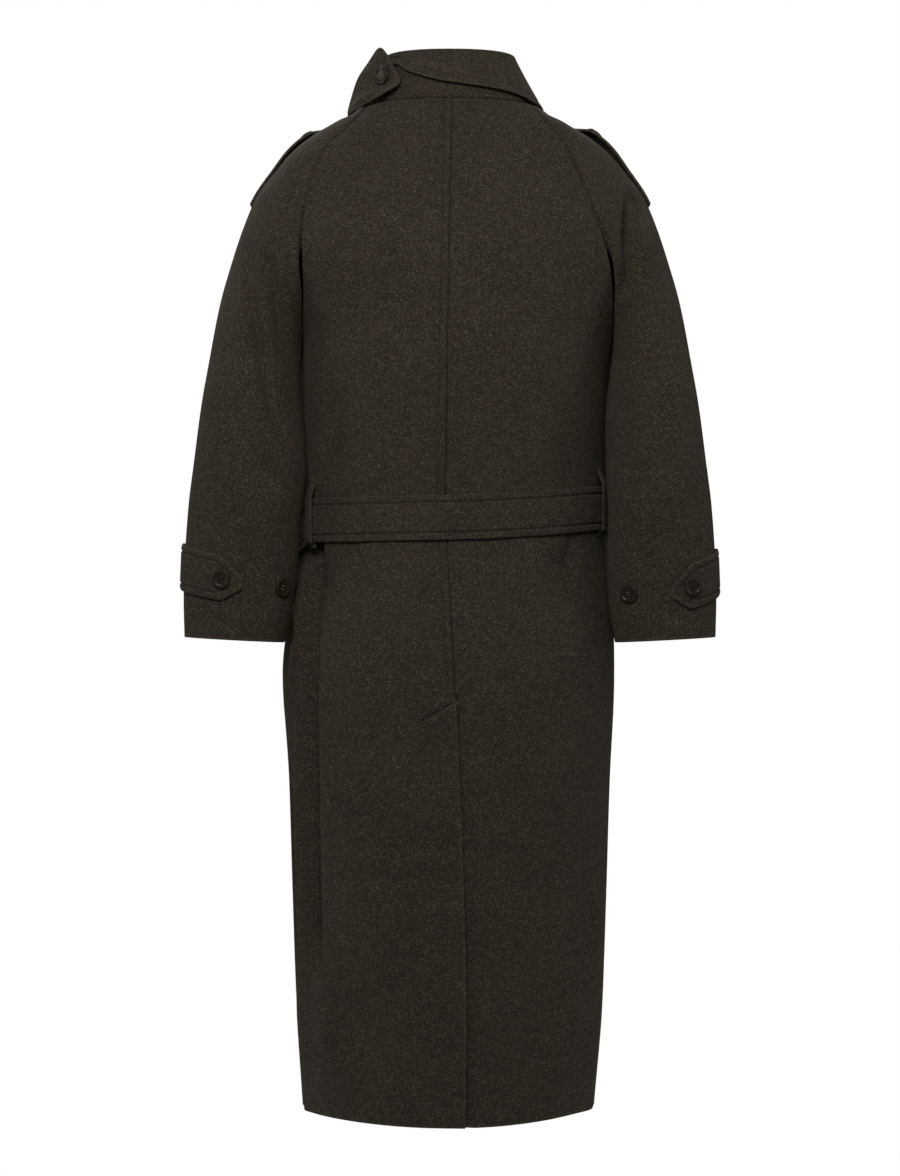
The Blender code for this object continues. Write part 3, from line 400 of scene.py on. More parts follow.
def clothPiece(name, outer, inner, material, free, wrap, nap):
    # A closed shell between two matching grids. free says which edges are rounded free edges,
    # as (first row, last row, first column, last column); the others lie in a seam.
    count = outer.shape[0] * outer.shape[1]
    index = np.arange(count).reshape(outer.shape[:2])
    face, back = outer.reshape(-1, 3), inner.reshape(-1, 3)
    # nap is each point's edge share, by which the wool is painted paler: partly brushed nap, partly a painted
    # highlight
    verts, fuzz = [face, back], [nap.ravel(), nap.ravel()]
    faces = [quadsOf(index, wrap), quadsOf(index + count, wrap)[:, ::-1]]
    turns = (-1, 1, 1, -1)
    edges = [line[::t] for line, t in zip((index[0], index[-1], index[:, 0], index[:, -1]), turns)]
    beyond = [line[::t] for line, t in zip((index[1], index[-2], index[:, 1], index[:, -2]), turns)]
    loosened = [np.broadcast_to(np.asarray(f, float), len(line))[::t]
                for f, line, t in zip(free, edges, turns)]
    used = 2 * count
    for order in ((1,), (0,)) if wrap else ((2, 1, 3, 0),):
        stop = None if wrap else -1         # a corner is left to the next edge
        ring, inside, loose = (np.concatenate([lines[s][:stop] for s in order])
                               for lines in (edges, beyond, loosened))
        thick = face[ring] - back[ring]
        bulge = rim["bulge"] * np.linalg.norm(thick, axis=1) * loose
        chain = [ring]
        for lean in (rim["lean"], -rim["lean"]):
            outward = unit(face[ring] - face[inside]) * bulge[:, None]
            verts.append(back[ring] + thick * (0.5 + lean) + outward)
            fuzz.append(loose)
            chain.append(np.arange(used, used + len(ring)))
            used += len(ring)
        chain.append(ring + count)
        for a, b in zip(chain, chain[1:]):
            faces.append(np.stack([np.roll(a, -1), a, b, np.roll(b, -1)], -1))
    faces = np.concatenate(faces)
    facing = np.cross(np.gradient(outer, axis=0), np.gradient(outer, axis=1))
    if np.sum(facing * (outer - inner)) < 0:
        faces = faces[:, ::-1]
    return newPiece(name, np.concatenate(verts), faces, material, {"napAndPaintedHighlight": np.concatenate(fuzz)})


def napAndPaintedHighlight(grid, free, reach=0.0016):  # 1 on a free edge, fading over the reach: the brushed nap of the edges with a painted highlight on it
    fromFirst, fromTop = lengths(grid), lengths(np.moveaxis(grid, 0, 1)).T
    spans = (fromTop, fromTop[-1:] - fromTop, fromFirst, fromFirst[:, -1:] - fromFirst)
    loose = [np.atleast_1d(f)[None] if s < 2 else np.atleast_1d(f)[:, None] for s, f in enumerate(free)]
    return np.max([f * bell(d, reach) for f, d in zip(loose, spans)], axis=0)


def sewnCloth(node, outer, inner, free, wrap=False):
    nap = np.zeros(outer.shape[:2]) if wrap else napAndPaintedHighlight(outer, free)
    piece = clothPiece("cloth_" + node, outer, inner, wool, free, wrap, nap)
    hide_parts(node)
    return piece


thread = {"pitch": 0.0038, "length": 0.0029, "radius": 0.00040, "proud": 0.00012, "sides": 6, "look": 0.0008,
          "aside": (0.31, 0.17, 0.93)}


def tubes(name, lines, side, up, radii, material):      # a closed six-sided tube along each line of points
    turn = np.arange(thread["sides"]) * 2 * np.pi / thread["sides"]
    ring = np.cos(turn)[:, None] * side[:, :, None] + np.sin(turn)[:, None] * up[:, :, None]
    verts = lines[:, :, None] + ring * radii[:, None, None]
    index = np.arange(lines.shape[1] * thread["sides"]).reshape(-1, thread["sides"])
    ends = index[0, [[0, 1, 2, 3], [0, 3, 4, 5]]], index[-1, [[3, 2, 1, 0], [5, 4, 3, 0]]]
    one = np.concatenate([quadsOf(index, True), *ends])
    faces = (one + (np.arange(len(lines)) * index.size)[:, None, None]).reshape(-1, 4)
    return newPiece(name, verts.reshape(-1, 3), faces, material)


def threadTubes(name, lines, radius, material):         # round threads with thin ends
    way = unit(np.gradient(lines, axis=1))
    side = unit(np.cross(way, thread["aside"]))
    radii = np.full(lines.shape[1], radius)
    radii[[0, -1]] *= 0.3
    return tubes(name, lines, side, np.cross(side, way), radii, material)


def stitches(name, paths):      # small spindles along each path, lying in the groove of the seam
    middles, ways, ups = [], [], []
    for points, normals in paths:
        line, run = points[None], lengths(points[None])[0]
        at = np.arange(thread["pitch"] / 2, run[-1], thread["pitch"])[None]
        ahead = along(line, np.minimum(at + thread["look"], run[-1]))
        behind = along(line, np.maximum(at - thread["look"], 0))
        nearest = np.round(np.interp(at[0], run, np.arange(len(points)))).astype(int)
        middles.append(along(line, at)[0])
        ways.append(unit(ahead - behind)[0])
        ups.append(unit(normals[nearest]))
    middle, way, up = (np.concatenate(v)[:, None] for v in (middles, ways, ups))
    share, sink, thin = np.array([[-1.0, 0.0, 1.0], [-0.8, 1.0, -0.8], [0.4, 1.0, 0.4]])
    lines = middle + way * share[:, None] * thread["length"] / 2 + up * sink[:, None] * thread["proud"]
    return tubes(name, lines, unit(np.cross(way, up)), up, thread["radius"] * thin, threadWithPaintedShade)


# Materials

def addNode(tree, kind, place, **settings):
    node = tree.nodes.new(kind)
    node.location = place
    inputs = settings.pop("inputs", {})
    for key, value in settings.items():
        setattr(node, key, value)
    for key, value in inputs.items():
        if isinstance(value, bpy.types.NodeSocket):
            tree.links.new(value, node.inputs[key])
        else:
            node.inputs[key].default_value = value
    return node


def scaled(tree, value, place, low, high, fromLow=0.25, fromHigh=0.75):     # a value moved to a new range
    return addNode(tree, "ShaderNodeMapRange", place, inputs={
        "Value": value, "From Min": fromLow, "From Max": fromHigh, "To Min": low, "To Max": high}).outputs[0]


def times(tree, a, b, place):
    return addNode(tree, "ShaderNodeMath", place, operation="MULTIPLY", inputs={0: a, 1: b}).outputs[0]


def blended(tree, factor, a, b, place, kind="MIX"):
    node = addNode(tree, "ShaderNodeMix", place, data_type="RGBA", blend_type=kind, inputs={0: factor})
    for socket, value in ((6, a), (7, b)):
        if isinstance(value, bpy.types.NodeSocket):
            tree.links.new(value, node.inputs[socket])
        else:
            node.inputs[socket].default_value = (*value, 1.0)
    return node.outputs[2]


woolLook = {
    "base": (0.0264, 0.0216, 0.0143), "pale": (0.135, 0.116, 0.080), "red": (0.058, 0.034, 0.022),
    # the share by which free edges are painted paler stands partly for their brushed nap and partly for a
    # painted highlight
    "green": (0.028, 0.031, 0.017), "deep": (0.0080, 0.0066, 0.0050), "redShare": 0.20, "paintedEdgeHighlight": 0.10,
    "bump": 0.55, "bumpDistance": 0.0007, "specular": 0.18,
    "sheen": 0.05, "sheenRoughness": 0.45, "sheenTint": (0.80, 0.74, 0.62, 1.0),
}
woolNoise = {           # scale, detail, roughness, distortion and the range it is moved to
    "patch": (13.0, 3.0, 0.6, 0.0, (0.86, 1.14)),
    "nap": (130.0, 4.0, 0.65, 0.6, (0.74, 1.26)),
    "fibre": (760.0, 2.0, 0.6, 0.8, (0.20, 1.80)),
    "red": (230.0, 2.0, 0.5, 0.0, (0.0, 1.0, 0.42, 0.62)),
    "green": (170.0, 2.0, 0.5, 0.0, (0.0, 0.42, 0.45, 0.68)),
    "hair": (1500.0, 1.0, 0.5, 0.0, (0.0, 1.0, 0.0, 1.0)),
}
strayHairs = (          # cells drawn out along or across the cloth; chance and strength of the coloured ones
    ((470.0, 470.0, 1250.0), ((0, "pale", 0.86, 0.86), (1, "deep", 0.80, 0.62))),
    ((1250.0, 1250.0, 490.0), ((0, "pale", 0.87, 0.82), (1, "red", 0.86, 0.70))),
    ((800.0, 800.0, 800.0), ((0, "pale", 0.950, 1.00), (1, "deep", 0.80, 0.60))),
)


def melangeGroup():     # wool of several colours: soft patches, brushed nap, fine fibre and stray flecks
    tree = bpy.data.node_groups.new("woolMelange", "ShaderNodeTree")
    tree.interface.new_socket("Vector", in_out="INPUT", socket_type="NodeSocketVector")
    for name, kind in (("Colour", "Color"), ("Roughness", "Float"), ("Height", "Float")):
        tree.interface.new_socket(name, in_out="OUTPUT", socket_type="NodeSocket" + kind)
    where = addNode(tree, "NodeGroupInput", (-1600, 0)).outputs["Vector"]
    end = addNode(tree, "NodeGroupOutput", (1200, 0))
    noise = {}
    for row, (name, (scale, detail, roughness, distortion, spread)) in enumerate(woolNoise.items()):
        y = 500 - 250 * row
        cloud = addNode(tree, "ShaderNodeTexNoise", (-1300, y), inputs={
            "Vector": where, "Scale": scale, "Detail": detail, "Roughness": roughness,
            "Distortion": distortion})
        noise[name] = scaled(tree, cloud.outputs["Fac"], (-1050, y), *spread)

    tone = blended(tree, noise["red"], woolLook["base"], woolLook["red"], (-800, -450))
    tone = blended(tree, woolLook["redShare"], woolLook["base"], tone, (-600, -450))
    tone = blended(tree, noise["green"], tone, woolLook["green"], (-400, -450))
    shade = times(tree, noise["patch"], noise["nap"], (-800, 400))
    shade = times(tree, shade, noise["fibre"], (-600, 300))
    grey = addNode(tree, "ShaderNodeCombineColor", (-400, 250), inputs=dict.fromkeys(range(3), shade))
    wool = blended(tree, 1.0, tone, grey.outputs[0], (-200, 0), "MULTIPLY")
    for number, (stretch, picks) in enumerate(strayHairs):
        y = -1100 - 400 * number
        drawn = addNode(tree, "ShaderNodeVectorMath", (-1500, y), operation="MULTIPLY",
                        inputs={0: where, 1: stretch})
        cells = addNode(tree, "ShaderNodeTexVoronoi", (-1300, y),
                        inputs={"Vector": drawn.outputs[0], "Scale": 1.0})
        chance = addNode(tree, "ShaderNodeSeparateColor", (-1050, y), inputs={0: cells.outputs["Color"]})
        core = scaled(tree, cells.outputs["Distance"], (-1050, y - 200), 1.0, 0.0, 0.20, 0.62)
        for socket, colour, limit, strength in picks:
            x = 400 * (2 * number + socket) - 600
            few = scaled(tree, chance.outputs[socket], (x, y), 0.0, strength, limit, limit + 0.05)
            few = times(tree, few, core, (x + 150, y))
            wool = blended(tree, few, wool, woolLook[colour], (x + 300, -200))
    tree.links.new(wool, end.inputs["Colour"])
    tree.links.new(scaled(tree, noise["nap"], (600, -450), 0.88, 0.99, 0.7, 1.3), end.inputs["Roughness"])
    height = noise["fibre"]
    for x, name, share in ((800, "nap", 0.7), (1000, "hair", 0.6)):
        height = addNode(tree, "ShaderNodeMath", (x, -650), operation="MULTIPLY_ADD",
                         inputs={0: noise[name], 1: share, 2: height}).outputs[0]
    tree.links.new(height, end.inputs["Height"])
    return tree


def newMaterial(name):
    material = bpy.data.materials.new(name)
    material.use_nodes = True
    return material, material.node_tree, material.node_tree.nodes["Principled BSDF"]


def setShader(shader, values):  # plain values on the shader's own sockets
    for socket, value in values.items():
        shader.inputs[socket].default_value = value


def woolMaterial():
    material, tree, shader = newMaterial("brushed_wool")
    where = addNode(tree, "ShaderNodeTexCoord", (-1100, 0))
    melange = addNode(tree, "ShaderNodeGroup", (-850, 0), node_tree=melangeGroup(),
                      inputs={"Vector": where.outputs["Object"]})
    edge = addNode(tree, "ShaderNodeAttribute", (-850, 300), attribute_name="napAndPaintedHighlight")
    # free edges mixed towards the pale fibre colour: partly brushed nap, partly a painted highlight where the
    # edges catch the light
    brushed = times(tree, edge.outputs["Fac"], woolLook["paintedEdgeHighlight"], (-650, 300))
    colour = blended(tree, brushed, melange.outputs["Colour"], woolLook["pale"], (-450, 200))
    tree.links.new(colour, shader.inputs["Base Color"])
    tree.links.new(melange.outputs["Roughness"], shader.inputs["Roughness"])
    bump = addNode(tree, "ShaderNodeBump", (-450, -250), inputs={
        "Strength": woolLook["bump"], "Distance": woolLook["bumpDistance"],
        "Height": melange.outputs["Height"]})
    tree.links.new(bump.outputs["Normal"], shader.inputs["Normal"])
    setShader(shader, {
        "Specular IOR Level": woolLook["specular"], "Sheen Weight": woolLook["sheen"],
        "Sheen Roughness": woolLook["sheenRoughness"], "Sheen Tint": woolLook["sheenTint"]})
    return material


def threadLook(name, dark, pale):
    material, tree, shader = newMaterial(name)
    where = addNode(tree, "ShaderNodeTexCoord", (-900, 0))
    twist = addNode(tree, "ShaderNodeTexWave", (-700, 0), bands_direction="DIAGONAL", inputs={
        "Vector": where.outputs["Object"], "Scale": 900.0, "Distortion": 1.0})
    colour = blended(tree, twist.outputs["Fac"], dark, pale, (-450, 0))
    tree.links.new(colour, shader.inputs["Base Color"])
    setShader(shader, {"Roughness": 0.6})
    return material


hornLook = {"dark": (0.0120, 0.0100, 0.0072), "warm": (0.0270, 0.0222, 0.0155), "roughness": (0.19, 0.28),
            "cloud": 130.0, "scratch": 900.0, "bump": 0.12, "bumpDistance": 0.0002, "specular": 0.18}


def hornMaterial():
    material, tree, shader = newMaterial("button_horn")
    where = addNode(tree, "ShaderNodeTexCoord", (-1100, 0)).outputs["Object"]
    cloud = addNode(tree, "ShaderNodeTexNoise", (-850, 0), inputs={
        "Vector": where, "Scale": hornLook["cloud"], "Detail": 4.0, "Distortion": 1.8}).outputs["Fac"]
    mottle = scaled(tree, cloud, (-620, 100), 0.0, 1.0, 0.35, 0.7)
    colour = blended(tree, mottle, hornLook["dark"], hornLook["warm"], (-420, 100))
    tree.links.new(colour, shader.inputs["Base Color"])
    tree.links.new(scaled(tree, cloud, (-620, -150), *hornLook["roughness"]), shader.inputs["Roughness"])
    scratch = addNode(tree, "ShaderNodeTexNoise", (-850, -350), inputs={
        "Vector": where, "Scale": hornLook["scratch"], "Detail": 2.0})
    bump = addNode(tree, "ShaderNodeBump", (-420, -350), inputs={
        "Strength": hornLook["bump"], "Distance": hornLook["bumpDistance"], "Height": scratch.outputs["Fac"]})
    tree.links.new(bump.outputs["Normal"], shader.inputs["Normal"])
    setShader(shader, {"Specular IOR Level": hornLook["specular"]})
    return material


wool, horn = woolMaterial(), hornMaterial()
# sewing thread darker than the cloth: partly its own colour, partly painted shade of the grooves the stitches
# lie in
threadWithPaintedShade = threadLook("sewing_thread_painted_shade", (0.006, 0.005, 0.004), (0.016, 0.013, 0.009))
# thread made pale to paint the two glints at the middle of the throat and spare buttons
glintThread = threadLook("button_thread_painted_glint", (0.16, 0.15, 0.13), (0.30, 0.285, 0.25))
print("materials ready")

# Body panels

raglan = table(
    "height seamX topX topHeight",
    (0.000, 0.0980, 0.1040, 0.0000),
    (-0.012, 0.1040, 0.1215, -0.0170),
    (-0.030, 0.1175, 0.1435, -0.0262),
    (-0.055, 0.1410, 0.1690, -0.0385),
    (-0.085, 0.1560, 0.1915, -0.0555),
    (-0.120, 0.1680, 0.2120, -0.0790),
    (-0.160, 0.1785, 0.2350, -0.1100),
    (-0.200, 0.1845, 0.2520, -0.1500),
    (-0.240, 0.1865, 0.2660, -0.1930),
    (-0.285, 0.1885, 0.2810, -0.2500),
)
raglanSteps = np.arange(len(raglan["height"]))
lastRaglan = raglanSteps[-1]
underarm = raglan["height"][-1]

panel = {"raglanRows": 62, "columns": {"left": 120, "right": 84, "front": 38}, "fine": 400,
         "ventTurn": (-0.700, -0.752), "hemTurn": 0.115}
hemLift = table(
    "angle lift",
    (-180.0, 0.000), (-120.0, 0.003), (-90.0, 0.0025), (-58.0, 0.0055), (0.0, -0.001), (48.0, 0.003),
    (90.0, 0.001), (120.0, 0.002), (180.0, 0.000),
)

# rows of a panel: steps along the raglan seam, then heights below the underarm
skirtHeights = np.concatenate([np.linspace(start, end, count)[1:] for start, end, count in (
    (underarm, panel["ventTurn"][0], 70), (*panel["ventTurn"], 44), (panel["ventTurn"][1], coat["hem"], 82))])
skirtHeights[-4:] = coat["hem"] + np.array([0.0075, 0.0035, 0.0012, 0.0])
raglanRows = np.linspace(0, lastRaglan, panel["raglanRows"])
rowStep = np.concatenate([raglanRows, np.full(len(skirtHeights), lastRaglan)])
rowHeight = np.concatenate([through(raglanSteps, raglan["height"], raglanRows), skirtHeights])


def seamHeight(step, face):     # the front seam starts a little lower at the neck
    height = through(raglanSteps, raglan["height"], step)
    return height - (0.009 * np.maximum(0.0, 1 - step / 3) if face < 0 else 0.0)


def seamLine(side, face, step):     # raglan seam on the body
    height = seamHeight(step, face)
    x = side * through(raglanSteps, raglan["seamX"], step) + column(body, "shift", height)
    return bodyPoint(x, height, np.full_like(height, float(face)))


def sideEnd(side, face):        # where each row of a panel ends: raglan seam above, side seam below
    height = np.where(rowHeight > underarm, seamHeight(rowStep, face), rowHeight)
    width, _, shift = bodySizes(height, face)
    onSeam = through(raglanSteps, raglan["seamX"], rowStep)
    return shift + side * np.where(rowHeight > underarm, onSeam, width)


def levelHeight(x):             # back rows are level
    return rowHeight[:, None] + 0 * x


def frontHeight(x):             # front rows dip to the centre front near the neck
    seam = seamHeight(rowStep, -1)[:, None]
    middle = (-coat["neckFrontDrop"] + (underarm + coat["neckFrontDrop"]) * rowStep / lastRaglan)[:, None]
    reach = through(raglanSteps, raglan["seamX"], rowStep)[:, None]
    dipped = seam + (middle - seam) * (1 - np.clip(np.abs(x) / reach, 0, 1) ** 2)
    return np.where(rowHeight[:, None] > underarm, dipped, levelHeight(x))


def flush(x):                   # a panel that isn't sunk under another
    return 0 * x


def panelGrid(start, end, face, height, sink, near, part):
    # rows of the body's form from start to end, cut at fixed distances near both edges
    t = np.sin(np.linspace(0, np.pi / 2, panel["fine"]))
    x = start[:, None] + (end - start)[:, None] * t
    point, normal = bodyPoint(x, height(x), face, True)
    point = point - normal * sink(x)[..., None]
    total = lengths(point)[:, -1]
    places = spreadColumns(total, near, seamEdge, panel["columns"][part])
    return along(point, places), places, total[:, None] - places


def finishPanel(grid, inward):
    # seams rolled in, the hem lifted where the skirt turns, and the inner face one cloth's thickness in
    normal = gridNormals(grid, grid * (1, 1, 0))
    outer = grid - normal * inward[..., None]
    low = ramp(-rowHeight, -coat["hem"] - panel["hemTurn"], -coat["hem"])[:, None]
    outer[..., 2] += low * column(hemLift, "lift", bodyAngle(outer), "angle")
    normal = gridNormals(outer, outer * (1, 1, 0))
    return outer, outer - normal * coat["cloth"], normal


raglanGroove = {"depth": 0.0054, "fadesBy": 0.0041, "width": 0.0032,
                "fades": (lastRaglan - 2.2, lastRaglan - 0.4)}


def raglanSink(fromSeam, step):     # deep along the raglan seam, shallow towards the underarm and below it
    depth = raglanGroove["depth"] - raglanGroove["fadesBy"] * ramp(step, *raglanGroove["fades"])
    return seamSink(fromSeam, raglanGroove["width"], depth[:, None])


def neckSink():                 # the neck edge rolls into the collar seam
    return seamSink((rowHeight[0] - rowHeight)[:, None])


# Backs: the left one carries the row of stitching beside the centre back seam and laps over at the vent

vent = {"lift": 0.0024, "curl": 0.030, "tackStart": (0.001, -0.7190), "tackEnd": (0.0455, -0.7445),
        "tackGroove": (0.0030, 0.0014), "tackLip": 0.0034, "tackSink": 0.0009, "opens": 0.004,
        "drawsUnder": 0.028}
centreSeam = {"width": 0.0028, "depth": 0.0026}
ventEdge = seamEdge + tuple(np.arange(0.0145, 0.0500, 0.0015))


def tackDistance(point):        # distance below the slanting stitch line at the top of the vent, and its fade
    x = point[..., 0] - column(centreBack, "x", point[..., 2])
    share, off = beside(x, point[..., 2], vent["tackStart"], vent["tackEnd"])
    return off, ramp(share, -0.08, 0.05) * (1 - ramp(share, 0.9, 1.05))


def tackPath():
    share = np.linspace(0.02, 1, 30)[:, None]
    x, z = (vent["tackStart"] + np.subtract(vent["tackEnd"], vent["tackStart"]) * share).T
    tack, normal = bodyPoint(x + column(centreBack, "x", z), z, 1, True)
    return tack - normal * vent["tackSink"], normal


def addBacks():
    seamX = column(centreBack, "x", rowHeight)
    ventTop = -coat["ventTop"]
    sewn = 1 - ramp(-rowHeight, ventTop - vent["opens"], ventTop + vent["opens"])[:, None]
    free = (0, 1, 1 - sewn[:, 0], 0)

    def seams(fromSeam, fromSide):
        return sewn * seamSink(fromSeam, **centreSeam) + raglanSink(fromSide, rowStep) + neckSink()

    # left back
    grid, fromSeam, fromSide = panelGrid(seamX, sideEnd(1, 1), 1, levelHeight, flush, ventEdge, "left")
    off, on = tackDistance(grid)
    grooveDepth, grooveWidth = vent["tackGroove"]
    inward = seams(fromSeam, fromSide) + sewn * stitchGroove(fromSeam)
    inward += grooveDepth * bell(off, grooveWidth) * on
    inward -= vent["tackLip"] * on * ramp(off, 0.0003, 0.0024) * (1 - ramp(off, 0.006, 0.030))
    inward -= (1 - sewn) * vent["lift"] * np.clip(1 - fromSeam / vent["curl"], 0, 1) ** 2
    outer, inner, normal = finishPanel(grid, inward)
    c = seamEdge.index(stitchRow["inset"])
    above = rowHeight > coat["ventTop"]
    seam = stitches("stitching_centre_back", [(outer[above, c], normal[above, c]), tackPath()])
    sewnCloth("back_left", outer, inner, free)

    # right back, which sinks under the left one along the vent
    under = coat["ventUnderlap"] * np.clip((coat["ventTop"] - rowHeight) / vent["drawsUnder"], 0, 1)
    share = ramp(-rowHeight, ventTop - 0.010, ventTop + 0.001)[:, None]
    edge = seamX[:, None]

    def ventSink(x):
        return share * (coat["cloth"] + coat["lapGap"]) * ramp(x, edge - coat["lapRamp"], edge - 0.002)

    grid, fromSeam, fromSide = panelGrid(seamX + under, sideEnd(-1, 1), 1, levelHeight, ventSink, seamEdge,
                                         "right")
    outer, inner, normal = finishPanel(grid, seams(fromSeam, fromSide))
    tucked(outer, inner, normal, 0, sewn)
    sewnCloth("back_right", outer, inner, free)


# Fronts: the right one laps over the left

def addFronts():
    def under(x):
        sunk = 1 - ramp(x, coat["frontEdge"] + 0.002, coat["frontEdge"] + coat["lapRamp"])
        return (coat["cloth"] + coat["lapGap"]) * sunk

    laid = {"left": (coat["frontUnderlap"], under), "right": (coat["frontEdge"], flush)}
    for side, word in hands:
        edge, sink = laid[word]
        start, end = np.full(len(rowHeight), edge), sideEnd(side, -1)
        grid, fromEdge, fromSide = panelGrid(start, end, -1, frontHeight, sink, seamEdge, "front")
        stitched = stitchGroove(fromEdge) if word == "right" else 0
        outer, inner, normal = finishPanel(grid, raglanSink(fromSide, rowStep) + neckSink() + stitched)
        tucked(outer, inner, normal, -1, (rowHeight < underarm)[:, None])
        pieces = []
        if word == "right":
            c = seamEdge.index(stitchRow["inset"])
            pieces = [stitches("stitching_front_edge", [(outer[1:-1, c], normal[1:-1, c])])]
        sewnCloth("front_" + word, outer, inner, (0, 1, 1, 0))


addBacks()
addFronts()
print("body panels sewn")

# Sleeves

rings = table(
    "topX topHeight underLeft underRight underHeight middleY backBulge frontBulge",
    (0.2900, -0.308, 0.1812, 0.1928, -0.330, 0.028, 0.076, 0.063),
    (0.2985, -0.365, 0.1765, 0.1872, -0.385, 0.046, 0.069, 0.063),
    (0.3060, -0.430, 0.1725, 0.1868, -0.445, 0.058, 0.060, 0.060),
    (0.3130, -0.490, 0.1790, 0.1895, -0.502, 0.063, 0.053, 0.055),
    (0.3170, -0.550, 0.1830, 0.1875, -0.560, 0.064, 0.049, 0.050),
    (0.3185, -0.600, 0.1890, 0.1900, -0.608, 0.064, 0.046, 0.046),
    (0.3175, -0.6435, 0.1975, 0.1970, -0.650, 0.064, 0.045, 0.044),
)
lastRing = lastRaglan + len(rings["topX"])
stations = np.arange(lastRing + 1)
stationHeights = np.concatenate([raglan["topHeight"], rings["topHeight"]])
sleeve = {"backBulge": 0.083, "frontBulge": 0.062, "middleY": 0.010, "raglanRows": 62, "armRows": 84,
          "columns": 58, "fine": 240}

# creases of the sleeves as seen from behind, then those of their fronts
sleeveCreases = {
    ("left", "back"): table(
        "x z xEnd zEnd width depth bow",
        (0.180, -0.072, 0.193, -0.150, 0.012, -0.0050, 0.002),
        (0.212, -0.175, 0.194, -0.300, 0.0064, -0.0076, -0.004),
        (0.224, -0.170, 0.213, -0.290, 0.009, 0.0036, -0.003),
        (0.239, -0.195, 0.200, -0.400, 0.0058, -0.0085, -0.006),
        (0.251, -0.220, 0.217, -0.400, 0.010, 0.0040, -0.006),
        (0.198, -0.340, 0.205, -0.480, 0.022, -0.0046, 0.000),
        (0.240, -0.430, 0.196, -0.472, 0.010, -0.0036, 0.003),
        (0.272, -0.330, 0.262, -0.500, 0.018, 0.0026, 0.000),
    ),
    ("right", "back"): table(
        "x z xEnd zEnd width depth bow",
        (-0.228, -0.140, -0.226, -0.330, 0.014, 0.0046, 0.003),
        (-0.242, -0.220, -0.246, -0.400, 0.016, -0.0034, 0.000),
        (-0.205, -0.330, -0.212, -0.470, 0.018, -0.0036, 0.000),
        (-0.236, -0.440, -0.200, -0.485, 0.011, -0.0034, -0.003),
        (-0.278, -0.360, -0.268, -0.500, 0.017, 0.0026, 0.000),
        (-0.262, -0.470, -0.228, -0.520, 0.012, 0.0022, -0.003),
    ),
    ("left", "front"): table(
        "x z xEnd zEnd width depth bow",
        (0.186, -0.130, 0.204, -0.240, 0.010, -0.0034, 0.003),
        (0.226, -0.210, 0.206, -0.350, 0.011, -0.0046, -0.004),
        (0.246, -0.370, 0.208, -0.430, 0.011, -0.0042, -0.003),
        (0.266, -0.400, 0.214, -0.470, 0.010, 0.0028, -0.003),
    ),
    ("right", "front"): table(
        "x z xEnd zEnd width depth bow",
        (-0.186, -0.130, -0.206, -0.240, 0.010, -0.0034, -0.003),
        (-0.230, -0.220, -0.208, -0.350, 0.011, -0.0046, 0.004),
        (-0.250, -0.380, -0.210, -0.440, 0.012, -0.0042, 0.003),
        (-0.268, -0.420, -0.216, -0.480, 0.010, 0.0028, 0.003),
    ),
}
shoulderFold = table(           # the fold that falls from the right shoulder, from its foot up
    "x z xEnd zEnd width run depth bow soft",
    (-0.2010, -0.238, -0.2155, -0.112, 0.0030, 0.0170, -0.0185, 0.002, 0.20),
)


def neckPoint(angle):           # neck seam at an angle from the centre back
    a = np.radians(np.asarray(angle, float))
    x = coat["neckHalfWidth"] * np.sign(np.sin(a)) * np.abs(np.sin(a)) ** (2 / coat["roundness"])
    face = np.where(np.cos(a) >= 0, 1.0, -1.0)
    reach = raglan["seamX"][0]
    seam = float(seamHeight(np.zeros(1), -1)[0])
    dip = seam + (-coat["neckFrontDrop"] - seam) * (1 - np.clip(np.abs(x) / reach, 0, 1) ** 2)
    shoulder = seam * ramp(np.abs(x), coat["neckHalfWidth"], reach)
    height = np.where(face > 0, 0.0, np.where(np.abs(x) < reach, dip, shoulder))
    return bodyPoint(x, height, face)[0]


def sleeveFrame(side):          # ends and end directions of the sleeve's half sections at its stations
    found = {}
    for face, name in ((1, "back"), (-1, "front")):
        points, normals = seamLine(side, face, raglanSteps.astype(float))
        outwards = unit(np.cross(np.gradient(points, axis=0), normals))
        outwards = outwards * np.sign(outwards[:, :1]) * side
        p = (raglanSteps / lastRaglan)[:, None]
        loose = ramp(p, 0.55, 1.0)
        top = np.stack([side * raglan["topX"], sleeve["middleY"] * p[:, 0] ** 2, raglan["topHeight"]], -1)
        chord = np.linalg.norm(top - points, axis=1, keepdims=True)
        bulge = 4 * (sleeve[name + "Bulge"] - 0.5 * np.abs(points[:, 1:2]))
        leave = unit((1 - loose) * outwards + (0.12 + loose) * np.array([0.0, face, 0.0]))
        seamWay = leave * ((1 - loose) * 1.15 * chord + loose * bulge)
        drop = (1 - loose) * 1.35 * np.abs(points[:, 1:2] - top[:, 1:2]) + loose * bulge
        topWay = drop * np.array([0.0, -face, 0.0])
        step, turn = 0.5, coat["shoulderTurn"]
        neck = neckPoint((90.0 - face * np.array([0.0, step, turn - step, turn])) * side)
        seamWay[0] = (neck[2] - neck[3]) / step * turn
        topWay[0] = (neck[0] - neck[1]) / step * turn
        under = rings["underLeft" if side > 0 else "underRight"]
        flat = 0 * under
        ringBulge = 4 * rings[name + "Bulge"] * face
        found[name] = [
            np.concatenate([points, np.stack([side * under, rings["middleY"], rings["underHeight"]], -1)]),
            np.concatenate([seamWay, np.stack([flat, ringBulge, flat], -1)]),
            np.concatenate([top, np.stack([side * rings["topX"], rings["middleY"], rings["topHeight"]], -1)]),
            np.concatenate([topWay, np.stack([flat, -ringBulge, flat], -1)]),
        ]
    return found


sleeveFrames = {side: sleeveFrame(side) for side in (1, -1)}


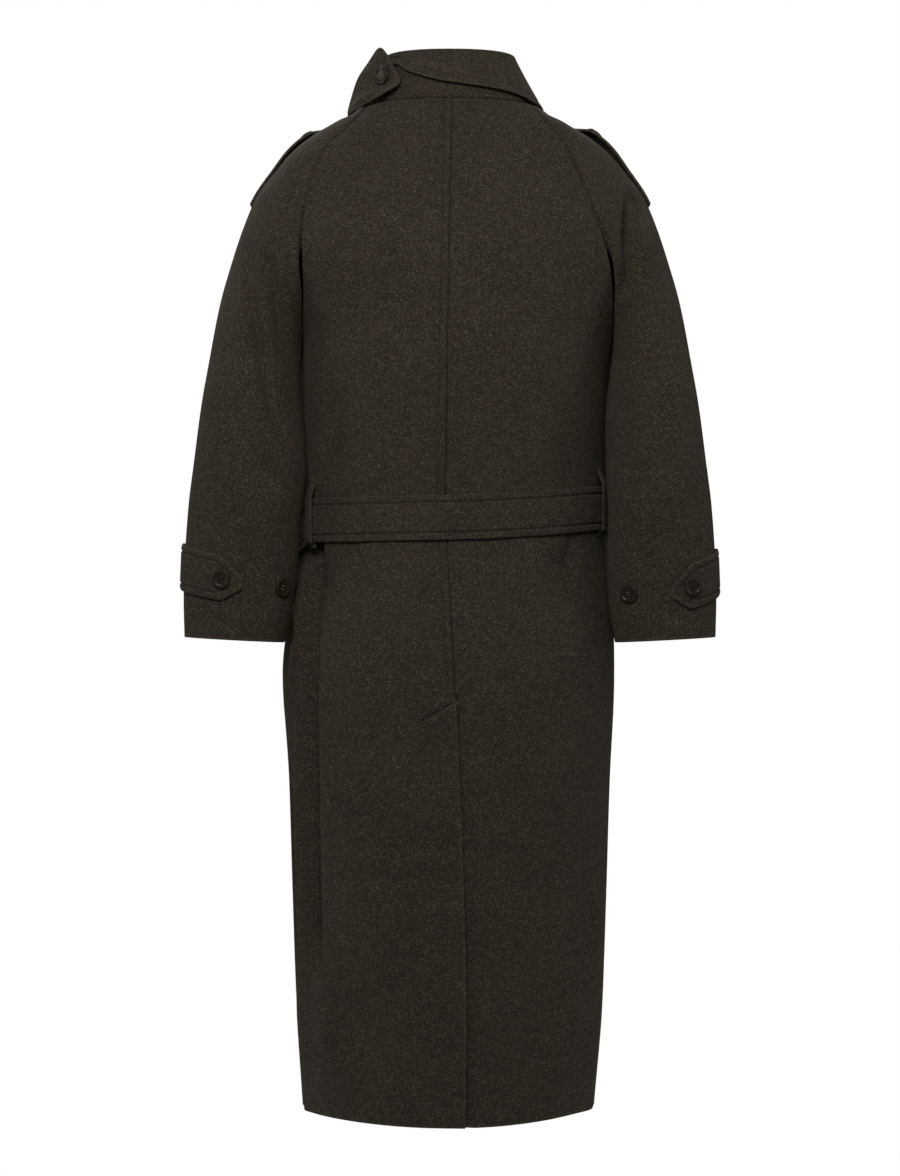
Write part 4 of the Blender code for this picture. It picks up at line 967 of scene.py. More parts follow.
def sleeveLines(side, name, station):       # cubic arcs from the seam to the overarm line, one a station
    a, m, b, n = (through(stations, v, station) for v in sleeveFrames[side][name])
    onBody = station <= lastRaglan
    onSeam, _ = seamLine(side, 1 if name == "back" else -1, np.minimum(station, lastRaglan))
    a = np.where(onBody[:, None], onSeam, a)
    q = np.linspace(0, 1, sleeve["fine"])[None, :, None]
    a, m, b, n = (v[:, None] for v in (a, m, b, n))
    return ((2 * q**3 - 3 * q**2 + 1) * a + (q**3 - 2 * q**2 + q) * m
            + (3 * q**2 - 2 * q**3) * b + (q**3 - q**2) * n)


def addSleeve(side, word, name, station):
    lines = sleeveLines(side, name, station)
    total = lengths(lines)[:, -1]
    fromSeam = spreadColumns(total, seamEdge, plainEdge, sleeve["columns"])
    fromTop = total[:, None] - fromSeam
    grid = along(lines, fromSeam)
    turned = bell(station - lastRaglan - 0.4, 1.3)[:, None]         # where the arm turns out of the raglan
    turned = turned * ramp(fromSeam, 0, 0.03) * ramp(fromTop, 0, 0.05)
    grid = softened(softened(grid, turned), turned)
    middle = (sleeveLines(side, "back", station) + sleeveLines(side, "front", station)).mean(1) / 2
    outward = grid - middle[:, None]
    normal = gridNormals(grid, outward)
    fromNeck = lengths(grid[None, :, 0])[0][:, None]
    inward = raglanSink(fromSeam, station) + seamSink(fromTop, 0.003, 0.0008) + seamSink(fromNeck)
    clear = ramp(fromTop, 0.012, 0.04) * (1 - ramp(-grid[..., 2], 0.50, 0.54))
    inward -= clear * creaseDepth(grid, sleeveCreases[word, name])
    if (word, name) == ("right", "back"):
        inward -= clear * creaseDepth(grid, shoulderFold)
    outer = grid - normal * inward[..., None]
    normal = gridNormals(outer, outward)
    inner = outer - normal * coat["cloth"]
    if name == "back":
        tucked(outer, inner, normal, 0, (station < lastRaglan)[:, None])
    else:
        tucked(outer, inner, normal, 0)
        tucked(outer, inner, normal, -1)
    sewnCloth(f"sleeve_{name}_{word}", outer, inner, (0, 1, 0, 0))


def addSleeves():
    arm = np.linspace(lastRaglan, lastRing, sleeve["armRows"] + 1)[1:]
    station = np.concatenate([np.linspace(0, lastRaglan, sleeve["raglanRows"]), arm])
    station[-4:] = lastRing - np.array([0.14, 0.06, 0.02, 0.0])
    for side, word in hands:
        for name in ("back", "front"):
            addSleeve(side, word, name, station)


addSleeves()
print("sleeves set in")


def onSleeve(side, station, across, step=0.0015, turn=0.06):
    # point and normal at a distance across from the overarm line, + to the front, for whole arrays
    shape = np.broadcast(station, across).shape
    station, across = (np.broadcast_to(v, shape).ravel() for v in (station, across))

    def girth(at):              # lines round the sleeve, and the distance along them
        at = np.clip(at, 0, lastRing)
        back, front = sleeveLines(side, "back", at), sleeveLines(side, "front", at)
        lines = np.concatenate([back, front[:, -2::-1]], axis=1)
        return lines, (lengths(lines)[:, sleeve["fine"] - 1] + across)[:, None]

    lines, place = girth(station)
    point = along(lines, place)[:, 0]
    around = along(lines, place + step) - along(lines, place - step)
    down = along(*girth(station + turn)) - along(*girth(station - turn))
    normal = unit(np.cross(around, down))[:, 0]
    normal = normal * np.sign(np.sum(normal * (point - lines.mean(1)), axis=1, keepdims=True))
    return point.reshape(shape + (3,)), normal.reshape(shape + (3,))


# Straps: two layers sewn and turned, stitched round inside their edge

strap = {"inset": 0.0072, "groove": 0.0018, "grooveWidth": 0.0012, "thick": coat["strapCloth"] + 0.0004,
         "edgeDrop": 0.0007, "tip": 0.28,
         "columns": (0, 0.6, 1.6, 3, 4.5, 5.6, 6.4, 7.0, 7.6, 8.2, 9.0, 10.2, 12, 14.5, 17.5, 21, 25)}


def strapGroove(fromEdge):
    return strap["groove"] * bell(fromEdge - strap["inset"], strap["grooveWidth"])


def strapAcross():              # places across a strap, closest together along its stitching
    edge = 1 - np.array(strap["columns"]) / strap["columns"][-1]
    return np.concatenate([-edge, edge[-2::-1]])


def addStraps(kind, shape, place):
    # the half width narrows to the pointed end, and the row of stitches follows the outline inside it;
    # across says from which edge the columns run
    width = shape["width"]
    narrower = 1 - 2 * strap["inset"] / width

    def halfWidth(share):
        rise = np.clip(share, 0, None) / shape["point"]
        return width / 2 * np.minimum(1.0, strap["tip"] + (1 - strap["tip"]) * rise)

    for side, word in hands:
        reach = shape["reach"][side]
        inset = shape["inset"] / reach
        share = np.linspace(1, 0, shape["rows"])[:, None]
        half = halfWidth(share)
        offset = shape["across"] * strapAcross() * half
        stitched = bell(np.abs(offset) - halfWidth(share - inset) * narrower, strap["grooveWidth"])
        sink = strap["groove"] * stitched * ramp(share, 0.5 * inset, 1.2 * inset)
        sink += strap["edgeDrop"] * ramp(np.abs(offset) / half, 0.86, 1.0) ** 2
        under, normal, lift = place(side, reach * share + 0 * offset, offset)
        inner = under + normal * lift[..., None]
        outer = inner + normal * (strap["thick"] - sink)[..., None]
        rows = np.linspace(1, inset, shape["stitchRows"])
        edge = halfWidth(rows - inset) * narrower
        line, normal, lift = place(side, reach * np.r_[rows, rows[::-1]], np.r_[edge, -edge[::-1]])
        line = line + normal * (lift + strap["thick"] - strap["groove"])[:, None]
        sewing = stitches(f"stitching_{kind}_{word}", [(line, normal)])
        sewnCloth(f"{kind}_{word}", outer, inner, (1, 1, 1, 1))


cuffStrap = {"tip": {1: -0.096, -1: -0.080}, "reach": {1: 0.156, -1: 0.140}, "width": 0.052, "point": 0.15,
             "slope": {1: 0.16, -1: 0.27}, "height": {1: -0.5590, -1: -0.5655}, "button": 0.022,
             "inset": strap["inset"], "across": -1, "rows": 90, "stitchRows": 120}


def cuffStrapPlace(side, fromTip, offset):      # on the sleeve, at a distance from the strap's point
    across = cuffStrap["tip"][side] + fromTip
    height = cuffStrap["height"][side] + cuffStrap["slope"][side] * np.minimum(0.0, across) + offset
    station = np.interp(-height, -stationHeights, stations)
    return *onSleeve(side, station, across), coat["laidGap"] + 0 * across


# reach, inset and button are shares of the epaulette's length
epaulette = {"outerStation": 6.25, "neckStation": 2.1, "middle": {1: 0.023, -1: 0.015}, "width": 0.044,
             "point": 0.20, "bow": {1: 0.0045, -1: 0.0060}, "reach": {1: 1.0, -1: 1.0}, "inset": 0.05,
             "button": 0.24, "across": 1, "rows": 80, "stitchRows": 90}


def epaulettePlace(side, share, offset):        # on the shoulder, at a share of the length from its point
    station = epaulette["neckStation"] + (epaulette["outerStation"] - epaulette["neckStation"]) * share
    point, normal = onSleeve(side, station, epaulette["middle"][side] + offset)
    bow = ramp(share, 0.0, 0.22) * (1 - ramp(share, 0.26, 0.95))
    return point, normal, coat["laidGap"] + epaulette["bow"][side] * bow


addStraps("cuff_strap", cuffStrap, cuffStrapPlace)
addStraps("epaulette", epaulette, epaulettePlace)
print("straps laid on")

# Collar: a stand round the neck and a leaf that rolls over its top

collar = {"topHalfWidth": 0.0755, "topBack": 0.0585, "topFront": 0.064, "frontDrop": 0.018, "forward": 0.004,
          "standAngles": 178.5, "leafAngles": 172.0, "columns": 170, "standRows": 22, "leafRows": 26,
          "rollRadius": 0.0030, "rollRows": 8, "rollThin": 0.9, "stitchInset": 0.0072, "stitchRoom": 0.018,
          "seamUnder": 0.0046}
leafEdge = table(
    "angle height standOff",
    (-172.0, -0.018, 0.007), (-140.0, -0.010, 0.007), (-90.0, -0.0045, 0.0058), (-68.0, 0.000, 0.0058),
    (-45.0, 0.0085, 0.0070), (0.0, 0.020, 0.0058), (30.0, 0.035, 0.0048), (48.0, 0.046, 0.0026),
    (100.0, 0.0465, 0.0012), (172.0, 0.032, 0.0012),
)


def collarTop(angle):
    return coat["collarHeight"] - collar["frontDrop"] * ramp(np.abs(angle), 80, 180)


def collarPoint(angle, height):     # straight lean from the neck seam to a smaller oval at the top
    a = np.radians(angle)
    power = 2 / coat["roundness"]
    base = neckPoint(angle)
    depth = np.where(np.cos(a) >= 0, collar["topBack"], collar["topFront"])
    topX = collar["topHalfWidth"] * np.sign(np.sin(a)) * np.abs(np.sin(a)) ** power
    topY = depth * np.sign(np.cos(a)) * np.abs(np.cos(a)) ** power - collar["forward"]
    top = np.stack([topX, topY, collarTop(angle)], -1)
    share = (height - base[..., 2]) / (top[..., 2] - base[..., 2])
    flat = unit(np.stack([np.sin(a) / coat["neckHalfWidth"], np.cos(a) / depth, 0 * a], -1))
    return base + (top - base) * share[..., None], flat


def addCollarStand():
    angle = np.linspace(-collar["standAngles"], collar["standAngles"], collar["columns"])[None]
    share = np.concatenate([[-0.11, -0.05, -0.015], np.linspace(0, 1, collar["standRows"])])[:, None]
    base = neckPoint(angle)[..., 2] + 2.5 * coat["seamGap"]
    top = collarTop(angle) - collar["rollRadius"] - 0.0006
    point, normal = collarPoint(angle + 0 * share, base + (top - base) * np.maximum(share, 0))
    rise = (top - base) * share
    point[..., 2] += np.minimum(rise, 0)
    behind = collar["seamUnder"] * ramp(-share, 0.0, 0.05) + 0 * angle
    outer = point - normal * (seamSink(np.maximum(rise, 0), 0.005, 0.0012) + behind)[..., None]
    sewnCloth("collar_stand", outer, outer - normal * coat["cloth"], (0, 1, 1, 1))


def addCollarLeaf():
    # rows run from the inside of the neck over the roll at the top and down to the free edge
    angle = np.linspace(-collar["leafAngles"], collar["leafAngles"], collar["columns"])[None]
    edge = column(leafEdge, "height", angle, "angle")
    off = column(leafEdge, "standOff", angle, "angle")
    top = collarTop(angle) - collar["rollRadius"]
    share = np.linspace(0, 1, collar["leafRows"])[:, None] ** 0.9
    point, normal = collarPoint(angle + 0 * share, top + (edge - top) * share)
    lift = coat["laidGap"] + (off - coat["laidGap"]) * share ** 1.6
    fromEdge = (top - edge) * (1 - share)
    sink = stitchGroove(fromEdge, collar["stitchInset"])
    sheet = point + normal * (lift + coat["cloth"] - sink)[..., None]

    turn = np.linspace(np.pi, 0, collar["rollRows"] + 1)[:-1, None]
    base, flat = collarPoint(angle + 0 * turn, top + 0 * turn)
    radius = (coat["laidGap"] + 2 * coat["cloth"]) / 2
    base = base + flat * (coat["laidGap"] + coat["cloth"] - radius)
    rise = collar["rollRadius"] * np.sin(turn)[..., None] * np.array([0, 0, 1.0])
    roll = base + flat * radius * np.cos(turn)[..., None] + rise

    outer = np.concatenate([roll, sheet])
    up = gridNormals(outer, np.concatenate([roll - base, normal]))
    thick = coat["cloth"] * np.repeat([collar["rollThin"], 1.0], [len(turn), len(share)])
    inner = outer - up * thick[:, None, None]
    row = np.abs(fromEdge - collar["stitchInset"]).argmin(axis=0) + len(turn)
    stitched = (top - edge)[0] > collar["stitchRoom"]
    line, lineUp = (grid[row, np.arange(collar["columns"])][stitched] for grid in (outer, up))
    for _ in range(6):          # evens out the steps from row to row
        line[1:-1] = (line[:-2] + line[1:-1] * 2 + line[2:]) / 4
    sewing = stitches("stitching_collar_leaf", [(line, lineUp)])
    sewnCloth("collar_leaf", outer, inner, (0, 1, 1, 1))


# Throat tab by its two edges, from its point down and round to the end sewn to the collar

tab = {"rows": 96, "button": (0.345, 0.76), "bowWay": (0.8, 0.6, 0.15), "hollow": 0.0095, "ridge": 0.0034,
       "standOff": 0.0075, "stitched": (0.09, 0.97, 160)}
tabEdges = table(
    "frontX frontY frontZ backX backY backZ bow",
    (0.0875, 0.025, 0.0660, 0.0825, 0.032, 0.0660, 0.000),
    (0.0980, 0.010, 0.0530, 0.0745, 0.043, 0.0530, 0.003),
    (0.1118, -0.004, 0.0350, 0.0680, 0.051, 0.0380, 0.005),
    (0.1183, -0.011, 0.0180, 0.0600, 0.060, 0.0200, 0.006),
    (0.1240, -0.014, -0.0040, 0.0772, 0.065, 0.0000, 0.006),
    (0.1240, -0.027, -0.0100, 0.1145, 0.018, -0.0060, 0.004),
    (0.1110, -0.048, 0.0140, 0.1190, -0.029, -0.0050, 0.003),
    (0.0711, -0.0569, 0.0211, 0.0821, -0.0616, -0.0060, 0.000),
)


def tabFace(down, across):      # straight across between its edges, swelled by the bow
    steps = np.arange(len(tabEdges["bow"]))
    place = down * steps[-1]
    first, last = (np.stack([through(steps, tabEdges[edge + axis], place) for axis in "XYZ"], -1)
                   for edge in ("front", "back"))
    swell = 4 * across * (1 - across) * through(steps, tabEdges["bow"], place)
    return first + (last - first) * across[..., None] + unit(np.array(tab["bowWay"])) * swell[..., None]


def tabWidth(down):
    return np.linalg.norm(tabFace(down, np.ones_like(down)) - tabFace(down, np.zeros_like(down)), axis=-1)


def tabNormal(down, across):
    step = 0.02
    ahead = tabFace(np.clip(down + step, 0, 1), across) - tabFace(np.clip(down - step, 0, 1), across)
    over = tabFace(down, np.clip(across + step, 0, 1)) - tabFace(down, np.clip(across - step, 0, 1))
    return -unit(np.cross(over, ahead))


def addThroatTab():
    down, across = np.meshgrid(np.linspace(0, 1, tab["rows"]), (strapAcross() + 1) / 2, indexing="ij")
    normal = tabNormal(down, across)
    half = coat["strapCloth"] / 2
    groove = strapGroove(np.minimum(across, 1 - across) * tabWidth(down)) * ramp(down, 0.05, 0.12)
    # a hollow under the button with a ridge round it, and the back edge standing off the collar beside it
    press = tab["hollow"] * bell(down - 0.575, 0.046) * bell(across - 0.60, 0.16)
    press -= tab["ridge"] * bell(down - 0.50 - 0.10 * (0.55 - across), 0.026) * bell(across - 0.42, 0.22)
    press -= tab["standOff"] * ramp(across, 0.70, 1.0) ** 1.5 * bell(down - 0.55, 0.090)
    face = tabFace(down, across) - normal * press[..., None]
    outer = face + normal * (half - groove)[..., None]
    rows = np.linspace(*tab["stitched"])
    inset = np.clip(strap["inset"] / tabWidth(rows), 0, 0.5)
    paths = []
    for place in (inset, 1 - inset):
        lineNormal = tabNormal(rows, place)
        paths.append((tabFace(rows, place) + lineNormal * (half - strap["groove"]), lineNormal))
    sewing = stitches("stitching_throat_tab", paths)
    sewnCloth("throat_tab", outer, face - normal * half, (1, 1, 1, 1))


addCollarStand()
addCollarLeaf()
addThroatTab()
print("collar set on")

# Belt, its loops, and the knot with two tails at the hidden front

belt = {"width": 0.050, "columns": 360, "ease": 0.0022, "swell": 0.0007, "stitchSink": 0.0012,
        "waves": ((0.0006, 7, 40), (0.0005, 13, 0))}
beltPath = table(
    "angle height",
    (-180.0, -0.524), (-120.0, -0.506), (-75.0, -0.4905), (-30.0, -0.498), (0.0, -0.503),
    (40.0, -0.505), (62.0, -0.5055), (84.0, -0.5195), (120.0, -0.532), (180.0, -0.524),
)


def beltPlace(angle, offset, lift):
    height = column(beltPath, "height", angle, "angle") + offset
    point, normal = bodyRing(angle, height)
    flat = unit(normal * (1, 1, 0))
    ease = belt["ease"] * bell(np.abs(angle) - 101, 13)     # it bridges the full cloth at the sides
    return point + flat * (coat["laidGap"] + ease + lift)[..., None], flat


def addBelt():
    half = belt["width"] / 2
    around = np.linspace(-180, 180, belt["columns"], endpoint=False)
    angle, offset = np.meshgrid(around, -strapAcross() * half)
    wave = sum(size * np.sin(np.radians(angle * count + start)) for size, count, start in belt["waves"])
    swell = belt["swell"] * (1 - (offset / half) ** 2)
    lift = coat["strapCloth"] + wave * (1 - (offset / half) ** 4) * 0.5 + swell
    outer, _ = beltPlace(angle, offset, lift - strapGroove(half - np.abs(offset)))
    inner, _ = beltPlace(angle, offset, 0 * lift)
    ring = np.linspace(-178, 178, 500)
    row = half - strap["inset"]
    over = np.full_like(ring, coat["strapCloth"] - belt["stitchSink"])
    sewing = stitches("stitching_belt", [beltPlace(ring, level + 0 * ring, over) for level in (row, -row)])
    sewnCloth("belt", outer, inner, (1, 1, 0, 0),
              True)


beltLoop = {"width": 0.011, "up": 0.050, "down": 0.0320, "slack": 0.0020, "angle": {1: 63.0, -1: -72.0},
            "clearsBelt": 0.0255, "edgeDrop": 0.0006, "rows": 70, "columns": 9}


def addBeltLoops():
    for side, word in hands:
        middle = beltLoop["angle"][side]
        ends = beltPlace(middle + np.array([-1.0, 1.0]), np.zeros(2), np.zeros(2))[0]
        turn = beltLoop["width"] / np.linalg.norm(ends[1] - ends[0])
        across, offset = np.meshgrid(np.sin(np.linspace(-1, 1, beltLoop["columns"]) * np.pi / 2),
                                     np.linspace(beltLoop["up"], -beltLoop["down"], beltLoop["rows"]))
        reach = np.where(offset > 0, beltLoop["up"], beltLoop["down"])
        overBelt = 1 - ramp(np.abs(offset), beltLoop["clearsBelt"], reach - 0.0015)
        lift = overBelt * (coat["strapCloth"] + coat["laidGap"] + beltLoop["slack"])
        lift -= (1 - overBelt) * (coat["laidGap"] - coat["seamGap"])
        inner, _ = beltPlace(middle + turn * across, offset, lift)
        rounded = beltLoop["edgeDrop"] * ramp(np.abs(across), 0.6, 1.0)
        outer, _ = beltPlace(middle + turn * across, offset, lift + coat["cloth"] - rounded)
        sewnCloth(f"belt_loop_{word}", outer, inner, (1, 1, 1, 1))


knot = {"halfWidth": 0.024, "halfHeight": 0.032, "depth": 0.020, "rows": 60, "columns": 96, "power": 2.4,
        "corner": 0.75, "height": float(column(beltPath, "height", 180.0, "angle"))}


def beltFront():                # how far forward the belt's face lies at the centre front
    edges = np.array([-belt["width"] / 2, 0.0, belt["width"] / 2])
    return beltPlace(np.full(3, 180.0), edges, np.full(3, coat["strapCloth"]))[0][:, 1].min()


def addBeltKnot():
    # a soft rounded lump, size = (1 - share^power)^(1 / power), with the wrap's folds pressed into it
    back = beltFront() - 2 * coat["seamGap"]
    share = np.sin(np.linspace(0, np.pi / 2, knot["rows"]))[:, None]
    turn = np.linspace(0, 2 * np.pi, knot["columns"], endpoint=False)[None]
    size = 0.02 + 0.98 * np.maximum(0.0, 1 - share ** knot["power"]) ** (1 / knot["power"])
    x, z = (reach * size * np.sign(v) * np.abs(v) ** knot["corner"] for reach, v in (
        (knot["halfWidth"], np.cos(turn)), (knot["halfHeight"], np.sin(turn))))
    band = bell(x - 0.30 * z - 0.0125, 0.0022) + bell(x - 0.22 * z + 0.0120, 0.0022)
    pleat = bell(x - 0.28 * z - 0.002, 0.0016) * ramp(np.abs(z), 0.004, 0.02)
    press = (0.0026 * band + 0.0012 * pleat) * ramp(share, 0.25, 0.6)
    outer = np.stack([x, back - knot["depth"] * share + press, knot["height"] + z], -1)
    flatBack = [np.stack([x[0] * part, np.full_like(x[0], back), knot["height"] + z[0] * part], -1)
                for part in (0.01, 0.5)]
    verts, faces = cappedRings(np.concatenate([flatBack, outer])[::-1])
    piece = newPiece("cloth_belt_knot", verts, faces, wool, {"napAndPaintedHighlight": np.zeros(len(verts))})
    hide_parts("belt_knot")


tails = {
    "left": {"x": 0.026, "length": 0.300, "drift": 0.012, "over": 0.0, "rise": 0.0012},
    "right": {"x": -0.026, "length": 0.345, "drift": -0.016, "over": 0.0055, "rise": 0.0038},
}


def tailPlace(tail, share, v):
    start = knot["height"] - knot["halfHeight"] - coat["seamGap"]
    height = start + tail["rise"] - tail["length"] * share
    middle = tail["x"] * (0.25 + 0.75 * ramp(share, 0, 0.35)) + tail["drift"] * share
    reach = belt["width"] / 2 * (0.42 + 0.58 * ramp(share, 0, 0.25))
    pleats = 0.0008 * np.cos(v * np.pi * 2.5) * (1 - ramp(share, 0.05, 0.45))
    lift = 2 * coat["seamGap"] + 0.0008 + 0.0105 * (1 - ramp(share, 0, 0.5)) + pleats
    lift = lift + tail["over"] * (1 - ramp(share, 0.45, 0.8))
    point, normal = bodyPoint(middle + reach * v, height, -1)
    flat = unit(normal * (1, 1, 0))
    return point + flat * lift[..., None], flat, reach


def addBeltTails():
    half = belt["width"] / 2
    for word, tail in tails.items():
        share, v = np.meshgrid(np.linspace(0, 1, 110), strapAcross(), indexing="ij")
        inner, flat, reach = tailPlace(tail, share, v)
        sink = strapGroove(half - np.abs(v) * reach) + strapGroove((1 - share) * tail["length"])
        outer = inner + flat * (coat["strapCloth"] - sink)[..., None]
        rows = np.linspace(0.10, 1 - strap["inset"] / tail["length"], 160)
        edge = np.full_like(rows, 1 - strap["inset"] / half)
        end = np.linspace(edge[0], -edge[0], 30)
        down, across = np.r_[rows, np.full_like(end, rows[-1]), rows[::-1]], np.r_[edge, end, -edge]
        line, lineFlat, _ = tailPlace(tail, down, across)
        line = line + lineFlat * (coat["strapCloth"] - strap["groove"])
        sewing = stitches(f"stitching_belt_tail_{word}", [(line, lineFlat)])
        sewnCloth(f"belt_tail_{word}", outer, inner, (1, 1, 1, 1))


addBelt()
addBeltLoops()
addBeltKnot()
addBeltTails()
print("belt tied")

# Buttons: dished discs with a raised rim and four holes, sewn on through the holes in two rows

button = {"radius": 0.011, "holeRadius": 0.00085, "holePlace": 0.00165, "holeDepth": 0.0016, "sides": 80,
          "seat": 0.0004, "threadGap": 0.00022, "threadLift": (0.0012, 0.0019), "thread": 0.00028,
          "glintThread": 0.00034}
buttonProfile = table(
    "share radius height",
    (0.00, 0.00, 0.0025), (0.10, 0.12, 0.0025), (0.34, 0.46, 0.0026), (0.44, 0.62, 0.0028),
    (0.52, 0.73, 0.0035), (0.60, 0.84, 0.0037), (0.68, 0.93, 0.0035), (0.76, 0.99, 0.0026),
    (0.80, 1.00, 0.0020), (0.86, 0.97, 0.0008), (0.92, 0.86, 0.0000), (1.00, 0.00, 0.0000),
)


def framed(normal, turn):       # right, up and outward directions on the cloth, turned about the outward one
    z = unit(np.asarray(normal, float))
    x = unit(np.cross((0, 0, 1), z))
    spin = np.array([[np.cos(turn), np.sin(turn), 0], [-np.sin(turn), np.cos(turn), 0], [0, 0, 1]])
    return spin @ np.stack([x, np.cross(z, x), z])


def addButton(node, point, normal, turn=0.0):
    # height over the disc = turned profile less a soft pit at each hole; the sewing's lines are handed back
    share = np.concatenate([np.linspace(0.02, 0.34, 30), np.linspace(0.36, 0.98, 34)])[:, None]
    angle = np.linspace(0, 2 * np.pi, button["sides"], endpoint=False)[None]
    radius = button["radius"] * column(buttonProfile, "radius", share, "share")
    height = column(buttonProfile, "height", share, "share") + 0 * angle
    x, y = radius * np.cos(angle), radius * np.sin(angle)
    p = button["holePlace"]
    for holeX, holeY in ((-p, -p), (-p, p), (p, -p), (p, p)):
        gap = np.hypot(x - holeX, y - holeY)
        pit = 1 - ramp(gap, 0.7 * button["holeRadius"], 1.25 * button["holeRadius"])
        height = height - button["holeDepth"] * pit * (share < 0.5)
    verts, faces = cappedRings(np.stack([x, y, height], -1))
    axes = framed(normal, turn)
    seat = point + axes[2] * button["seat"]
    piece = newPiece("horn_" + node, seat + verts @ axes, faces, horn)
    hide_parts(node)
    t = np.linspace(0, 1, 12)
    low, rise = button["threadLift"]
    lift = low + rise * np.sin(np.pi * t) ** 0.35
    slide = button["threadGap"]
    lines = [np.stack([p * (2 * t - 1), np.full_like(t, level), lift], -1)
             for level in (-p - slide, -p + slide, p - slide, p + slide)]
    return seat + np.array(lines) @ axes


spareButton = {1: {"height": -0.5765, "fromUnderarm": 0.034}, -1: {"height": -0.5850, "fromUnderarm": 0.046}}
buttonTurn = {"strap": 0.25, "cuff": -0.4, "throat": 0.6}


def seatOn(place, side, at):    # the middle of a strap's face at a distance from its point, and the normal
    point, normal, lift = place(side, np.full(1, at), np.zeros(1))
    return point[0] + normal[0] * (lift[0] + coat["strapCloth"]), normal[0]


def addButtons():
    # strap and epaulette buttons have dark thread; on the cuffs' second ones and the throat's the two threads
    # are made pale to paint glints at their middles
    dark, pale = [], []
    for side, word in hands:
        seat = seatOn(cuffStrapPlace, side, cuffStrap["button"])
        dark.append(addButton(f"strap_button_{word}", *seat, buttonTurn["strap"] * side))
        spare = spareButton[side]
        station = np.full(1, np.interp(-spare["height"], -stationHeights, stations))
        girth = lengths(sleeveLines(side, "back", station))[:, -1]
        point, normal = onSleeve(side, station, spare["fromUnderarm"] - girth)
        pale.append(addButton(f"cuff_button_{word}", point[0], normal[0], buttonTurn["cuff"] * side)[::3])
        seat = seatOn(epaulettePlace, side, epaulette["button"])
        dark.append(addButton(f"epaulette_button_{word}", *seat))
    down, across = (np.full(1, v) for v in tab["button"])
    normal = tabNormal(down, across)[0]
    seat = tabFace(down, across)[0] + normal * coat["strapCloth"] / 2
    pale.append(addButton("throat_button", seat, normal, buttonTurn["throat"])[::3])
    threadTubes("button_thread", np.concatenate(dark), button["thread"], threadWithPaintedShade)
    threadTubes("button_thread_painted_glints", np.concatenate(pale), button["glintThread"], glintThread)


buttonhole = {"length": 0.025, "width": 0.0034, "bead": 0.00075, "points": 120, "ribs": 46, "rib": 0.0002,
              "fromButton": 0.0085, "above": 0.0008}


def addButtonholes():
    # a ribbed bead of thread round a slit that runs out from under each cuff button
    t = np.linspace(0, 2 * np.pi, buttonhole["points"])
    long = buttonhole["length"] / 2 * np.sign(np.cos(t)) * np.abs(np.cos(t)) ** 0.6
    wide = buttonhole["width"] / 2 * np.sign(np.sin(t)) * np.abs(np.sin(t)) ** 0.5
    fromTip = cuffStrap["button"] + buttonhole["fromButton"] + long
    over = strap["thick"] + buttonhole["rib"] * np.sin(buttonhole["ribs"] * t)
    lines = []
    for side, _ in hands:
        point, normal, lift = cuffStrapPlace(side, fromTip, wide + buttonhole["above"])
        lines.append(point + normal * (lift + over)[:, None])
    threadTubes("buttonhole_stitching", np.array(lines), buttonhole["bead"], threadWithPaintedShade)


addButtons()
addButtonholes()
print("buttons sewn on")

# Floor, light and camera

studio = {"floorDrop": 0.27, "floorRadius": 0.78, "floorColour": (0.80, 0.795, 0.785),
          "skyAbove": 0.22, "skyBelow": 0.045, "backdrop": 1.0}
lamps = {       # place, aim, watts and size
    "topBox": ((0.20, 1.75, 0.42), (0, 0.1, -0.30), 25.0, (1.1, 0.6)),
    "leftStrip": ((2.0, 0.25, -0.2), (0, 0, -0.6), 7.0, (0.4, 1.8)),
    "rightStrip": ((-2.0, 0.3, -0.1), (0, 0, -0.7), 9.0, (0.4, 1.8)),
    "frontBox": ((0.3, -1.5, 1.4), (0, 0, -0.5), 27.0, (1.3, 0.9)),
}
camera = {"distance": 3.3, "height": -0.586, "frameHeight": 1.4347, "sensor": 36.0}


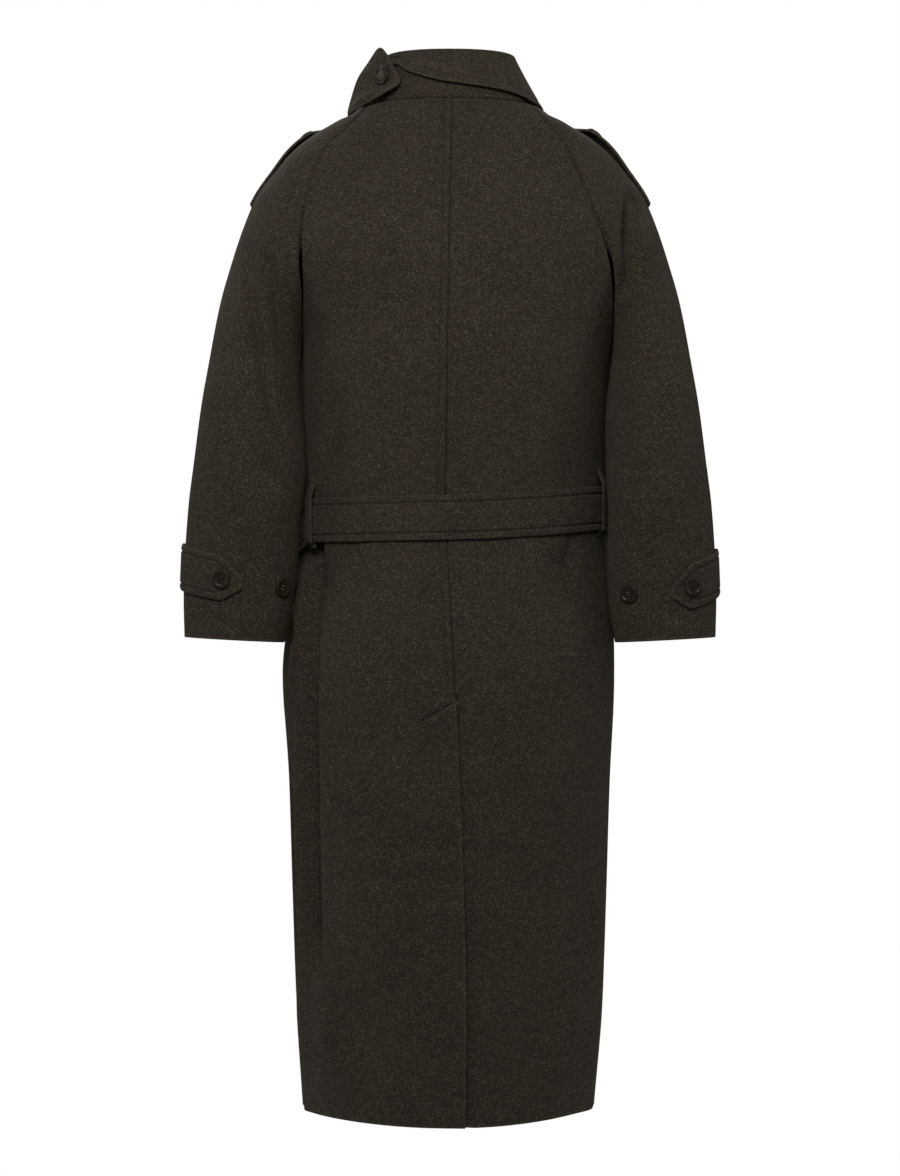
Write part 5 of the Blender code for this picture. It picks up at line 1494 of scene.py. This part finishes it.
def addFloor():                 # a flat round floor: rings of a disc about its middle
    z = coat["hem"] - studio["floorDrop"]
    radius = np.linspace(0.004, studio["floorRadius"], 8)[:, None]
    turn = np.linspace(0, 2 * np.pi, 96, endpoint=False)[None]
    grid = np.stack([radius * np.cos(turn), radius * np.sin(turn), z + 0 * radius * turn], -1)
    index = np.arange(grid.shape[0] * grid.shape[1]).reshape(grid.shape[:2])
    mesh = bpy.data.meshes.new("floor")
    mesh.from_pydata(grid.reshape(-1, 3).tolist(), [], quadsOf(index, True).tolist() + [index[0].tolist()])
    material, _, shader = newMaterial("pale_floor")
    setShader(shader, {"Base Color": (*studio["floorColour"], 1.0), "Roughness": 0.9})
    mesh.materials.append(material)
    floor = bpy.data.objects.new("floor", mesh)
    bpy.context.scene.collection.objects.link(floor)


def addLamp(name, place, aim, energy, size):
    lamp = bpy.data.lights.new(name, "AREA")
    lamp.energy = energy
    lamp.shape, lamp.size, lamp.size_y = "RECTANGLE", *size
    item = bpy.data.objects.new(name, lamp)
    bpy.context.scene.collection.objects.link(item)
    back = unit(np.subtract(place, aim))
    right = unit(np.cross((0, 0, 1), back))
    axes = np.stack([right, np.cross(back, right), back], -1)
    matrix = np.eye(4)
    matrix[:3, :3], matrix[:3, 3] = axes, place
    item.matrix_world = Matrix(matrix.tolist())


def addStudio():
    world = bpy.data.worlds.new("studio")
    world.use_nodes = True
    tree = world.node_tree
    sky = tree.nodes["Background"]
    sky.inputs["Color"].default_value = (1, 1, 1, 1)
    way = addNode(tree, "ShaderNodeTexCoord", (-900, 0))
    up = addNode(tree, "ShaderNodeSeparateXYZ", (-700, 0), inputs={0: way.outputs["Generated"]}).outputs["Z"]
    light = scaled(tree, up, (-500, 0), studio["skyBelow"], studio["skyAbove"], -1.0, 1.0)
    seen = addNode(tree, "ShaderNodeLightPath", (-500, 300)).outputs["Is Camera Ray"]
    tree.links.new(scaled(tree, seen, (-250, 0), light, studio["backdrop"], 0.0, 1.0), sky.inputs["Strength"])
    bpy.context.scene.world = world
    for name, lamp in lamps.items():
        addLamp(name, *lamp)


def addCamera():
    scene = bpy.context.scene
    eye = bpy.data.cameras.new("camera")
    eye.sensor_width = camera["sensor"]
    eye.lens = camera["sensor"] * camera["distance"] / camera["frameHeight"]
    item = bpy.data.objects.new("camera", eye)
    item.location = (0.0, camera["distance"], camera["height"])
    item.rotation_euler = (np.pi / 2, 0.0, np.pi)
    scene.collection.objects.link(item)
    scene.camera = item
    scene.view_settings.view_transform = "Standard"
    scene.view_settings.look = "None"


addFloor()
addStudio()
addCamera()
print("studio lit")
